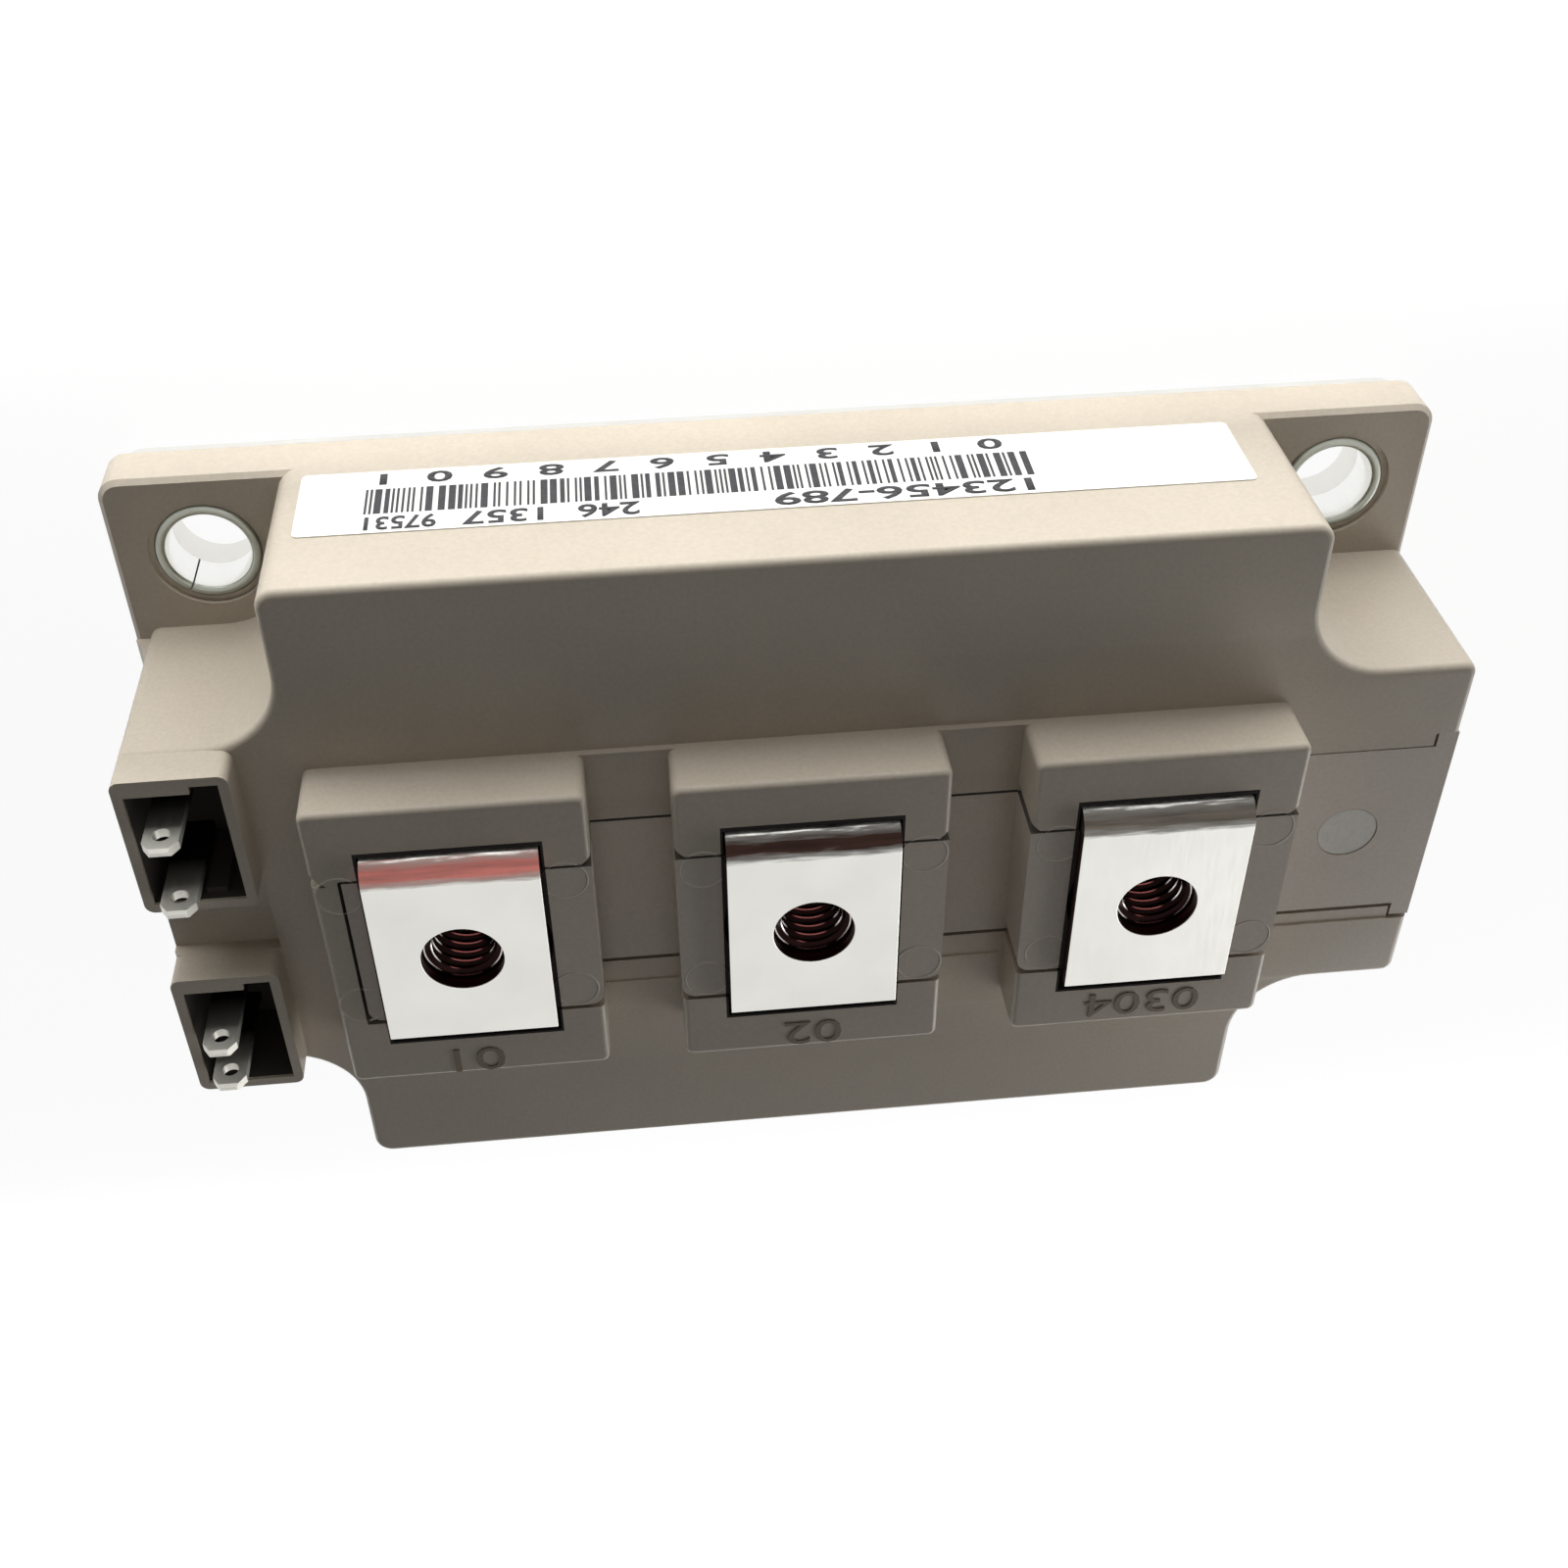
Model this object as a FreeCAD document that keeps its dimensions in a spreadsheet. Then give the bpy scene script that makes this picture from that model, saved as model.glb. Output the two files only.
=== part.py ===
import FreeCAD, Part
import math
import os
from types import SimpleNamespace

import Sketcher

# A half-bridge power module with screw terminals, in millimetres.
# The origin is the centre of the base plate's underside, +Z points up to the terminals,
# the long side runs along X, the labelled wall faces -Y and the control sockets are at +X.

SIZES = {
    # base plate
    "plate_end_gap": 0.8,
    "plate_width": 60.4,
    "plate_thickness": 3.0,
    "plate_corner": 2.0,
    "plate_edge": 0.3,
    "hole_end_inset": 7.5,
    "hole_pitch_short": 48.0,
    "plate_hole": 6.8,
    # outer form of the case
    "case_length": 108.0,
    "case_width": 62.0,
    "case_bottom": 2.5,
    "ear_top": 7.0,
    "ear_corner": 1.8,
    "ear_edge": 0.4,
    "ledge_edge": 0.6,
    "ear_length": 14.1,
    "body_corner": 1.6,
    "end_width": 34.4,
    "end_corner": 1.0,
    "notch_radius": 6.5,
    "socket_end_setback": 1.3,
    "flare_height": 4.6,
    # hollow inside the case
    "wall": 2.0,
    "roof": 2.0,
    "socket_end_wall": 1.4,
    "plate_clearance": 0.1,
    # raised block that carries the terminals
    "plateau_depth": 29.6,
    "plateau_height": 0.6,
    "plateau_end_gap": 0.85,
    "island_gap": 6.5,
    "island_drop": 1.3,
    "island_height": 5.7,
    "island_corner": 0.7,
    "island_edge": 0.5,
    "island_chamfer": 0.8,
    # shallow guide recess and the channel for the nut bar
    "guide_width": 20.7,
    "guide_depth": 0.15,
    "bar_clearance": 0.24,
    "bar_shift": 0.13,
    "channel_width": 18.1,
    "channel_throat": 15.9,
    "channel_depth": 6.8,
    "channel_lip_drop": 1.6,
    "channel_wall": 1.5,
    "channel_end_gap": 2.1,
    "head_width": 20.4,
    "head_length": 1.7,
    # nut bar
    "bar_corner": 1.2,
    "nut_recess": 14.4,
    "nut_recess_depth": 1.6,
    "screw_relief": 7.4,
    "screw_depth": 11.6,
    "ejector_mark": 5.2,
    "ejector_depth": 0.1,
    # nuts
    "nut_flats": 10.0,
    "nut_height": 5.0,
    "nut_bore": 5.0,
    "nut_clearance": 0.1,
    # main terminals
    "terminal_top": 31.2,
    "strap_thickness": 1.2,
    "strap_width": 13.8,
    "strap_bend": 1.1,
    "strap_reach": 8.6,
    "strap_face": 10.15,
    "strap_hole": 6.6,
    "strap_clearance": 0.15,
    "slot_gap": 1.7,
    "leg_width": 6.0,
    "leg_offset": -2.0,
    "middle_leg_offset": -5.2,
    "leg_drop": 3.2,
    "foot_length": 4.4,
    "foot_bend": 0.8,
    # control sockets and their tabs
    "socket_width": 8.8,
    "socket_length": 13.2,
    "socket_centre": 10.5,
    "socket_height": 3.1,
    "socket_wall": 0.8,
    "socket_depth": 8.3,
    "socket_floor_thickness": 1.5,
    "socket_corner": 0.8,
    "socket_key_length": 5.0,
    "socket_key_depth": 0.7,
    "socket_rib_width": 1.6,
    "socket_rib_depth": 0.55,
    "socket_rib_drop": 1.0,
    "socket_rib_setback": 4.8,
    "socket_valley": 1.2,
    "tab_stand": 2.5,
    "tab_width": 2.8,
    "tab_thickness": 0.8,
    "tab_hole": 1.4,
    "tab_hole_drop": 1.85,
    "tab_point": 0.7,
    "tab_setback": 3.1,
    "tab_clearance": 0.15,
    "gate_one_y": -12.4,
    "sense_one_y": -6.0,
    "gate_two_y": 9.9,
    "sense_two_y": 14.1,
    "arm_drop": 5.0,
    "arm_height": 2.4,
    "pin_width": 1.8,
    # screw collars in the ears
    "collar_outer": 8.6,
    "collar_bore": 6.8,
    "collar_drop": 0.2,
    "collar_slit": 0.25,
    "collar_recess": 9.5,
    "collar_recess_depth": 0.5,
    # label
    "label_end_gap": 3.1,
    "label_height": 9.1,
    "label_bottom": 7.9,
    "label_x": 0.9,
    "label_thickness": 0.12,
    # ceramic tiles with their copper
    "tile_end_gap": 1.7,
    "tile_gap": 2.4,
    "tile_side_inset": 7.0,
    "tile_thickness": 0.63,
    "copper_thickness": 0.3,
    "copper_margin": 0.7,
    "track_gap": 1.5,
    "emitter_track": 6.0,
    "control_track": 3.0,
    "track_inset": 1.5,
    "emitter_pad_back": 7.0,
    # chips, bond wires and link strap
    "chip_thickness": 0.3,
    "transistor_share": 0.3,
    "diode_share": 0.2,
    "chip_row_pitch": 14.5,
    "chip_row_centre": 6.0,
    "chip_inset": 0.6,
    "chip_gap": 1.0,
    "wire_size": 0.4,
    "wire_spacing": 4.4,
    "wire_loop": 1.8,
    "wire_lean": 1.2,
    "link_width": 3.0,
    "link_gap": 0.6,
    "link_height": 3.2,
    "link_foot": 4.0,
    "link_thickness": 0.8,
    # silicone gel
    "gel_drop": 5.9,
}

SHEET_NAME = "Sizes"


class Size:
    """A length that knows both its value and the sheet formula that gives it."""

    def __init__(self, number, formula):
        self.number = number
        self.formula = formula

    def __add__(self, other):
        other = as_size(other)
        return Size(self.number + other.number, f"({self.formula} + {other.formula})")

    def __sub__(self, other):
        other = as_size(other)
        return Size(self.number - other.number, f"({self.formula} - {other.formula})")

    def __mul__(self, other):
        other = as_size(other)
        return Size(self.number * other.number, f"{self.formula} * {other.formula}")

    def __truediv__(self, other):
        other = as_size(other)
        return Size(self.number / other.number, f"{self.formula} / {other.formula}")

    def __neg__(self):
        return Size(-self.number, f"(0 - {self.formula})")

    def __radd__(self, other):
        return as_size(other) + self

    def __rsub__(self, other):
        return as_size(other) - self

    def __rmul__(self, other):
        return as_size(other) * self

    def __float__(self):
        return float(self.number)


def as_size(value):
    """Take a plain number as a length with itself for a formula."""
    if isinstance(value, Size):
        return value
    return Size(float(value), f"({value!r})")


doc = FreeCAD.newDocument("power_module")
sheet = doc.addObject("Spreadsheet::Sheet", SHEET_NAME)
for row, (alias, value) in enumerate(SIZES.items(), start=1):
    sheet.set(f"A{row}", alias)
    sheet.set(f"B{row}", str(value))
    sheet.setAlias(f"B{row}", alias)
doc.recompute()
s = SimpleNamespace(**{alias: Size(value, f"{SHEET_NAME}.{alias}") for alias, value in SIZES.items()})

sub_parts = []


def bind(obj, prop, value):
    """Tie a property to the sheet through a length's formula."""
    obj.setExpression(prop, as_size(value).formula)


def name_sub_part(obj, label, x=0, y=0, z=0):
    """Give a finished piece its label and its place, and put it on the list to write."""
    obj.Label = label
    for axis, value in zip("xyz", (x, y, z)):
        bind(obj, f"Placement.Base.{axis}", value)
    sub_parts.append(obj)


# Sketches and features of the moulded, punched and turned pieces


def new_body(label, x=0, y=0, z=0):
    body = doc.addObject("PartDesign::Body", label)
    name_sub_part(body, label, x, y, z)
    return body


def sketch_on(body, role, level=0):
    """Open a sketch on one of the body's origin planes, moved to a level along X, Y or Z."""
    sketch = body.newObject("Sketcher::SketchObject", "outline")
    plane = [item for item in body.Origin.OriginFeatures if item.Role == role][0]
    sketch.AttachmentSupport = [(plane, "")]
    sketch.MapMode = "FlatFace"
    offset = -as_size(level) if role == "XZ_Plane" else as_size(level)
    bind(sketch, "AttachmentOffset.Base.z", offset)
    return sketch


def constrain(sketch, kind, *references, size=None):
    """Add one constraint, tied to the sheet when it has a size."""
    if size is None:
        sketch.addConstraint(Sketcher.Constraint(kind, *references))
        return
    size = as_size(size)
    index = sketch.addConstraint(Sketcher.Constraint(kind, *references, size.number))
    sketch.setExpression(f"Constraints[{index}]", size.formula)


def outline(sketch, corners):
    """Draw a closed outline of sides along the axes; a corner is (u, v) or (u, v, radius)."""
    corners = [tuple(as_size(item) for item in corner) for corner in corners]
    count = len(corners)
    points = [FreeCAD.Vector(float(corner[0]), float(corner[1]), 0) for corner in corners]
    radii = [float(corner[2]) if len(corner) == 3 else 0.0 for corner in corners]
    ahead = [(points[(i + 1) % count] - points[i]).normalize() for i in range(count)]
    first = sketch.GeometryCount
    for i in range(count):
        j = (i + 1) % count
        start = points[i] + ahead[i] * radii[i]
        end = points[j] - ahead[i] * radii[j]
        sketch.addGeometry(Part.LineSegment(start, end), False)
    for i in range(count):
        j = (i + 1) % count
        across = abs(ahead[i].x) > abs(ahead[i].y)
        constrain(sketch, "Horizontal" if across else "Vertical", first + i)
        if across:
            constrain(sketch, "DistanceY", -1, 1, first + i, 1, size=corners[i][1])
        else:
            constrain(sketch, "DistanceX", -1, 1, first + i, 1, size=corners[i][0])
        before = (i - 1) % count
        if not radii[i]:
            constrain(sketch, "Coincident", first + before, 2, first + i, 1)
            continue
        inward = ahead[i] - ahead[before]
        centre = points[i] + inward * radii[i]
        left_turn = ahead[before].x * ahead[i].y - ahead[before].y * ahead[i].x > 0
        come = points[i] - ahead[before] * radii[i] - centre
        go = points[i] + ahead[i] * radii[i] - centre
        begin, finish = (come, go) if left_turn else (go, come)
        circle = Part.Circle(centre, FreeCAD.Vector(0, 0, 1), radii[i])
        arc = Part.ArcOfCircle(circle, math.atan2(begin.y, begin.x), math.atan2(finish.y, finish.x))
        index = sketch.addGeometry(arc, False)
        constrain(sketch, "Tangent", first + before, 2, index, 1 if left_turn else 2)
        constrain(sketch, "Tangent", first + i, 1, index, 2 if left_turn else 1)
        constrain(sketch, "Radius", index, size=corners[i][2])


def rectangle(sketch, left, right, front, back, radius=None):
    corner = () if radius is None else (radius,)
    outline(sketch, [(u, v) + corner for u, v in ((left, front), (right, front), (right, back), (left, back))])


def circle(sketch, u, v, diameter):
    u, v, diameter = as_size(u), as_size(v), as_size(diameter)
    centre = FreeCAD.Vector(float(u), float(v), 0)
    index = sketch.addGeometry(Part.Circle(centre, FreeCAD.Vector(0, 0, 1), float(diameter) / 2), False)
    constrain(sketch, "DistanceX", -1, 1, index, 3, size=u)
    constrain(sketch, "DistanceY", -1, 1, index, 3, size=v)
    constrain(sketch, "Diameter", index, size=diameter)


def polygon(sketch, corners):
    """Draw a closed outline whose sides may slope, from corners (u, v)."""
    corners = [tuple(as_size(item) for item in corner) for corner in corners]
    count = len(corners)
    first = sketch.GeometryCount
    for i in range(count):
        start, end = corners[i], corners[(i + 1) % count]
        line = Part.LineSegment(FreeCAD.Vector(float(start[0]), float(start[1]), 0),
                                FreeCAD.Vector(float(end[0]), float(end[1]), 0))
        sketch.addGeometry(line, False)
    for i in range(count):
        constrain(sketch, "Coincident", first + i, 1, first + (i - 1) % count, 2)
        constrain(sketch, "DistanceX", -1, 1, first + i, 1, size=corners[i][0])
        constrain(sketch, "DistanceY", -1, 1, first + i, 1, size=corners[i][1])


def pad(body, sketch, length, backwards=False, both_ways=False):
    """Raise a sketch along its plane's normal."""
    feature = body.newObject("PartDesign::Pad", "raised")
    feature.Profile = sketch
    feature.Reversed = backwards
    feature.Midplane = both_ways
    bind(feature, "Length", length)
    doc.recompute()
    return feature


def pocket(body, sketch, depth, upwards=False, both_ways=False):
    """Cut a sketch into the body and make sure that it removed something."""
    before = body.Shape.Volume
    feature = body.newObject("PartDesign::Pocket", "cut")
    feature.Profile = sketch
    feature.Reversed = upwards
    feature.Midplane = both_ways
    bind(feature, "Length", depth)
    doc.recompute()
    if not body.Shape.Volume < before - 1e-6:
        raise RuntimeError(f"{body.Label}: a cut removed nothing")
    return feature


def edges_where(feature, test):
    """Names of the feature's edges whose bounding box and middle pass a test."""
    names = []
    for number, edge in enumerate(feature.Shape.Edges, start=1):
        if test(edge.BoundBox, edge):
            names.append(f"Edge{number}")
    return names


def at_level(level, inside=None):
    """Test for edges that lie flat at a height, within (left, right, front, back) if given."""
    def test(box, edge):
        flat = abs(box.ZMin - float(level)) < 0.01 and abs(box.ZMax - float(level)) < 0.01
        if not flat or inside is None:
            return flat
        left, right, front, back = (float(item) for item in inside)
        in_x = box.XMin > left - 0.01 and box.XMax < right + 0.01
        return in_x and box.YMin > front - 0.01 and box.YMax < back + 0.01
    return test


def soften(body, feature, kind, size, test):
    """Round or chamfer the edges of the last feature that pass a test."""
    names = edges_where(feature, test)
    if not names:
        raise RuntimeError(f"{body.Label}: no edge to soften")
    result = body.newObject(f"PartDesign::{kind}", kind.lower())
    result.Base = (feature, names)
    bind(result, "Radius" if kind == "Fillet" else "Size", size)
    doc.recompute()
    return result


# Places that several pieces share

half_length = s.case_length / 2
half_width = s.case_width / 2
half_plate = half_length - s.plate_end_gap
half_body = half_length - s.ear_length
half_end = s.end_width / 2
island_top = s.terminal_top - s.island_drop
ledge_top = island_top - s.island_height
channel_bottom = ledge_top - s.channel_depth
channel_lip = ledge_top - s.channel_lip_drop
leg_top = ledge_top - s.leg_drop
socket_rim = ledge_top + s.socket_height
socket_floor = socket_rim - s.socket_depth
tab_top = socket_rim + s.tab_stand
arm_bottom = channel_bottom - s.arm_drop
gel_top = channel_bottom - s.gel_drop
socket_face = half_length - s.socket_end_setback
socket_inner_x = socket_face - s.socket_width
plateau_top = ledge_top + s.plateau_height
half_plateau = half_body - s.plateau_end_gap
island_length = (half_plateau - s.island_gap) * 2 / 3
terminal_pitch = island_length + s.island_gap
half_depth = s.plateau_depth / 2
guide_floor = ledge_top - s.guide_depth
web_top = plateau_top - s.guide_depth
roof_bottom = ledge_top - s.roof
terminal_places = [terminal_pitch, as_size(0), -terminal_pitch]
channel_end = half_plateau - s.channel_end_gap
hole_x = half_length - s.hole_end_inset
collar_places = [(sign_x * hole_x, sign_y * s.hole_pitch_short / 2)
                 for sign_x in (1, -1) for sign_y in (-1, 1)]
socket_places = [-s.socket_centre, s.socket_centre]
half_socket = s.socket_length / 2
tab_x = socket_face - s.tab_setback
tab_faces = [s.gate_one_y, s.sense_one_y, s.gate_two_y, s.sense_two_y]
collar_foot = s.plate_thickness
copper_top = s.plate_thickness + s.copper_thickness * 2 + s.tile_thickness
chip_top = copper_top + s.chip_thickness
half_tile = (half_body - s.wall - s.tile_end_gap - s.tile_gap / 2) / 2
tile_width = s.case_width - s.tile_side_inset * 2
tile_places = [half_tile + s.tile_gap / 2, -half_tile - s.tile_gap / 2]
transistor_side = half_tile * 2 * s.transistor_share
diode_side = half_tile * 2 * s.diode_share
last_chip_row = s.chip_row_centre + s.chip_row_pitch / 2
link_y = last_chip_row + transistor_side / 2 + s.link_gap + s.link_width / 2
track_end = half_tile - s.track_inset


# Base plate: nickel-plated copper, punched, with a screw hole at each corner


def make_base_plate():
    body = new_body("base_plate")
    sketch = sketch_on(body, "XY_Plane")
    rectangle(sketch, -half_plate, half_plate, -s.plate_width / 2, s.plate_width / 2, s.plate_corner)
    plate = pad(body, sketch, s.plate_thickness)
    plate = soften(body, plate, "Chamfer", s.plate_edge, at_level(0))
    sketch = sketch_on(body, "XY_Plane", s.plate_thickness)
    for x, y in collar_places:
        circle(sketch, x, y, s.plate_hole)
    pocket(body, sketch, s.plate_thickness)


# Case: one moulding, open below, with four ears, a raised block split into three islands,
# a channel for the nut bar and two sockets


def case_outer_form(body):
    """Ears, the cross-shaped upper body and the flare under the sockets."""
    sketch = sketch_on(body, "XY_Plane", s.case_bottom)
    rectangle(sketch, -half_length, half_length, -half_width, half_width, s.ear_corner)
    skirt = pad(body, sketch, s.ear_top - s.case_bottom)
    soften(body, skirt, "Chamfer", s.ear_edge, at_level(s.ear_top))

    sketch = sketch_on(body, "XY_Plane", s.case_bottom)
    outline(sketch, [
        (-half_body, -half_width, s.body_corner), (half_body, -half_width, s.body_corner),
        (half_body, -half_end, s.notch_radius), (socket_face, -half_end, s.end_corner),
        (socket_face, half_end, s.end_corner), (half_body, half_end, s.notch_radius),
        (half_body, half_width, s.body_corner), (-half_body, half_width, s.body_corner),
        (-half_body, half_end, s.notch_radius), (-half_length, half_end, s.end_corner),
        (-half_length, -half_end, s.end_corner), (-half_body, -half_end, s.notch_radius),
    ])
    upper = pad(body, sketch, ledge_top - s.case_bottom)
    soften(body, upper, "Fillet", s.ledge_edge, at_level(ledge_top))

    sketch = sketch_on(body, "XZ_Plane")
    foot, crest = s.ear_top, s.ear_top + s.flare_height
    reach = float(s.socket_end_setback)
    rise = float(s.flare_height)
    radius = (reach * reach + rise * rise) / (2 * reach)
    corner = FreeCAD.Vector(float(socket_face), float(foot), 0)
    toe = FreeCAD.Vector(float(half_length), float(foot), 0)
    top = FreeCAD.Vector(float(socket_face), float(crest), 0)
    centre = top + FreeCAD.Vector(radius, 0, 0)
    down = toe - centre
    curve = Part.ArcOfCircle(Part.Circle(centre, FreeCAD.Vector(0, 0, 1), radius),
                             math.pi, math.atan2(down.y, down.x) % (2 * math.pi))
    side = sketch.addGeometry(Part.LineSegment(top, corner), False)
    base = sketch.addGeometry(Part.LineSegment(corner, toe), False)
    bow = sketch.addGeometry(curve, False)
    constrain(sketch, "Coincident", side, 2, base, 1)
    constrain(sketch, "Coincident", base, 2, bow, 2)
    constrain(sketch, "Tangent", bow, 1, side, 1)
    constrain(sketch, "Vertical", side)
    constrain(sketch, "Horizontal", base)
    constrain(sketch, "DistanceX", -1, 1, side, 1, size=socket_face)
    constrain(sketch, "DistanceY", -1, 1, side, 1, size=crest)
    constrain(sketch, "DistanceX", -1, 1, base, 2, size=half_length)
    constrain(sketch, "DistanceY", -1, 1, base, 2, size=foot)
    pad(body, sketch, s.end_width - s.end_corner * 2, both_ways=True)


def case_raised_block(body):
    """The low plateau and the three islands on it."""
    sketch = sketch_on(body, "XY_Plane", ledge_top)
    rectangle(sketch, -half_plateau, half_plateau, -half_depth, half_depth, s.island_corner)
    pad(body, sketch, s.plateau_height)
    sketch = sketch_on(body, "XY_Plane", ledge_top)
    for place in terminal_places:
        rectangle(sketch, place - island_length / 2, place + island_length / 2,
                  -half_depth, half_depth, s.island_corner)
    islands = pad(body, sketch, island_top - ledge_top)
    soften(body, islands, "Fillet", s.island_edge, at_level(island_top))


def case_sockets(body):
    """Two shrouds on the +X end, with the valley between them."""
    sketch = sketch_on(body, "XY_Plane", ledge_top - s.roof)
    for place in socket_places:
        rectangle(sketch, socket_inner_x, socket_face, place - half_socket, place + half_socket,
                  s.socket_corner)
    pad(body, sketch, socket_rim - ledge_top + s.roof)
    sketch = sketch_on(body, "XY_Plane", ledge_top)
    valley = s.socket_centre - half_socket
    rectangle(sketch, socket_inner_x, socket_face + s.socket_end_setback, -valley, valley)
    pocket(body, sketch, s.socket_valley)


def case_hollow(body):
    """The space inside the walls, the bed for the plate, and the channel's trough."""
    sketch = sketch_on(body, "XY_Plane", s.case_bottom)
    inner_body, inner_width = half_body - s.wall, half_width - s.wall
    inner_end = half_end - s.wall
    right, left = socket_face - s.socket_end_wall, s.wall - half_length
    outline(sketch, [
        (-inner_body, -inner_width), (inner_body, -inner_width), (inner_body, -inner_end),
        (right, -inner_end), (right, inner_end), (inner_body, inner_end),
        (inner_body, inner_width), (-inner_body, inner_width), (-inner_body, inner_end),
        (left, inner_end), (left, -inner_end), (-inner_body, -inner_end),
    ])
    floor = socket_floor - s.socket_floor_thickness
    pocket(body, sketch, floor - s.case_bottom, upwards=True)
    sketch = sketch_on(body, "XY_Plane", floor)
    rectangle(sketch, s.wall - half_body, half_body - s.wall, -inner_width, inner_width)
    pocket(body, sketch, roof_bottom - floor, upwards=True)

    sketch = sketch_on(body, "XY_Plane", channel_bottom - s.channel_wall)
    trough = s.strap_face + s.strap_clearance + s.channel_wall
    rectangle(sketch, s.wall - half_length, channel_end + s.channel_wall, -trough, trough)
    pad(body, sketch, roof_bottom - channel_bottom + s.channel_wall)

    sketch = sketch_on(body, "XY_Plane", s.case_bottom)
    bed_length = half_plate + s.plate_clearance
    bed_width = s.plate_width / 2 + s.plate_clearance
    rectangle(sketch, -bed_length, bed_length, -bed_width, bed_width, s.plate_corner)
    pocket(body, sketch, s.plate_thickness - s.case_bottom, upwards=True)


def case_channel(body):
    """The guide recess and the stepped channel that the nut bar slides into from -X."""
    beyond = half_length + s.wall
    sketch = sketch_on(body, "XY_Plane", ledge_top)
    rectangle(sketch, -beyond, -half_plateau, -s.guide_width / 2, s.guide_width / 2)
    pocket(body, sketch, s.guide_depth)
    sketch = sketch_on(body, "XY_Plane", plateau_top)
    middle = terminal_pitch / 2
    half_gap = (terminal_pitch - island_length) / 2
    for place in (middle, -middle):
        rectangle(sketch, place - half_gap, place + half_gap, -s.guide_width / 2, s.guide_width / 2)
    pocket(body, sketch, s.guide_depth)

    sketch = sketch_on(body, "XY_Plane", channel_lip)
    rectangle(sketch, -beyond, channel_end, -s.channel_width / 2, s.channel_width / 2)
    pocket(body, sketch, channel_lip - channel_bottom)
    sketch = sketch_on(body, "XY_Plane", island_top)
    rectangle(sketch, -beyond, channel_end, -s.channel_throat / 2, s.channel_throat / 2)
    pocket(body, sketch, island_top - channel_bottom)
    sketch = sketch_on(body, "XY_Plane", ledge_top)
    rectangle(sketch, -beyond, -half_plateau, -s.channel_width / 2, s.channel_width / 2)
    pocket(body, sketch, ledge_top - channel_bottom)
    sketch = sketch_on(body, "XY_Plane", ledge_top)
    head = s.head_width / 2 + s.bar_clearance
    rectangle(sketch, -beyond, s.head_length + s.bar_clearance - half_length, -head, head)
    channel = pocket(body, sketch, ledge_top - channel_bottom)

    sketch = sketch_on(body, "XY_Plane", island_top)
    past = s.island_chamfer / 2
    seam = -s.channel_throat / 2
    for place in terminal_places:
        for sign in (1, -1):
            side = place + sign * island_length / 2
            beyond_side = side + sign * past
            polygon(sketch, [(side - sign * (s.island_chamfer + past), seam + past),
                             (beyond_side, seam + past),
                             (beyond_side, seam - s.island_chamfer - past)])
    pocket(body, sketch, island_top - plateau_top)


def case_strap_slots(body):
    """A slot round each main terminal, down into the case."""
    half_slot = s.strap_width / 2 + s.strap_clearance
    front = -s.strap_face - s.strap_clearance
    sketch = sketch_on(body, "XY_Plane", island_top)
    for place in terminal_places:
        rectangle(sketch, place - half_slot, place + half_slot, front, 0)
    pocket(body, sketch, island_top - channel_bottom)
    sketch = sketch_on(body, "XY_Plane", channel_lip)
    for place in terminal_places:
        rectangle(sketch, place - half_slot, place + half_slot, front, -s.channel_throat / 2)
    pocket(body, sketch, channel_lip - channel_bottom + s.channel_wall * 2)
    sketch = sketch_on(body, "XY_Plane", island_top)
    for place in terminal_places:
        rectangle(sketch, place - half_slot, place + half_slot, 0, s.strap_reach + s.slot_gap)
    pocket(body, sketch, s.slot_gap)


def case_socket_hollows(body):
    """The socket openings, each with a thicker keyed stretch of wall and slits for its tabs."""
    sketch = sketch_on(body, "XY_Plane", socket_rim)
    left, right = socket_inner_x + s.socket_wall, socket_face - s.socket_wall
    for place in socket_places:
        front, back = place - half_socket + s.socket_wall, place + half_socket - s.socket_wall
        keyed = front + s.socket_key_depth
        key_start = right - s.socket_key_length
        outline(sketch, [(left, front), (key_start, front), (key_start, keyed), (right, keyed),
                         (right, back), (left, back)])
    pocket(body, sketch, socket_rim - socket_floor)
    rib_end = socket_face - s.socket_rib_setback
    wall_face = half_socket - s.socket_centre - s.socket_wall
    sketch = sketch_on(body, "XY_Plane", socket_floor)
    rectangle(sketch, rib_end - s.socket_rib_width, rib_end, wall_face - s.socket_rib_depth, wall_face)
    pad(body, sketch, s.socket_depth - s.socket_rib_drop)
    sketch = sketch_on(body, "XY_Plane", socket_floor)
    half_slit = s.tab_width / 2 + s.tab_clearance
    for face in tab_faces:
        rectangle(sketch, tab_x - half_slit, tab_x + half_slit,
                  face - s.tab_clearance, face + s.tab_thickness + s.tab_clearance)
    pocket(body, sketch, s.socket_floor_thickness)


def case_ear_holes(body):
    """Bores for the collars, each in a shallow round recess."""
    sketch = sketch_on(body, "XY_Plane", s.ear_top)
    for x, y in collar_places:
        circle(sketch, x, y, s.collar_outer)
    pocket(body, sketch, s.ear_top - s.plate_thickness)
    sketch = sketch_on(body, "XY_Plane", s.ear_top)
    for x, y in collar_places:
        circle(sketch, x, y, s.collar_recess)
    pocket(body, sketch, s.collar_recess_depth)


def make_case():
    body = new_body("case")
    case_outer_form(body)
    case_raised_block(body)
    case_sockets(body)
    case_hollow(body)
    case_channel(body)
    case_strap_slots(body)
    case_socket_hollows(body)
    case_ear_holes(body)


# Nut bar: a second moulding in the same plastic, with a block under each terminal and a
# T-shaped head that closes the channel's mouth


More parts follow.
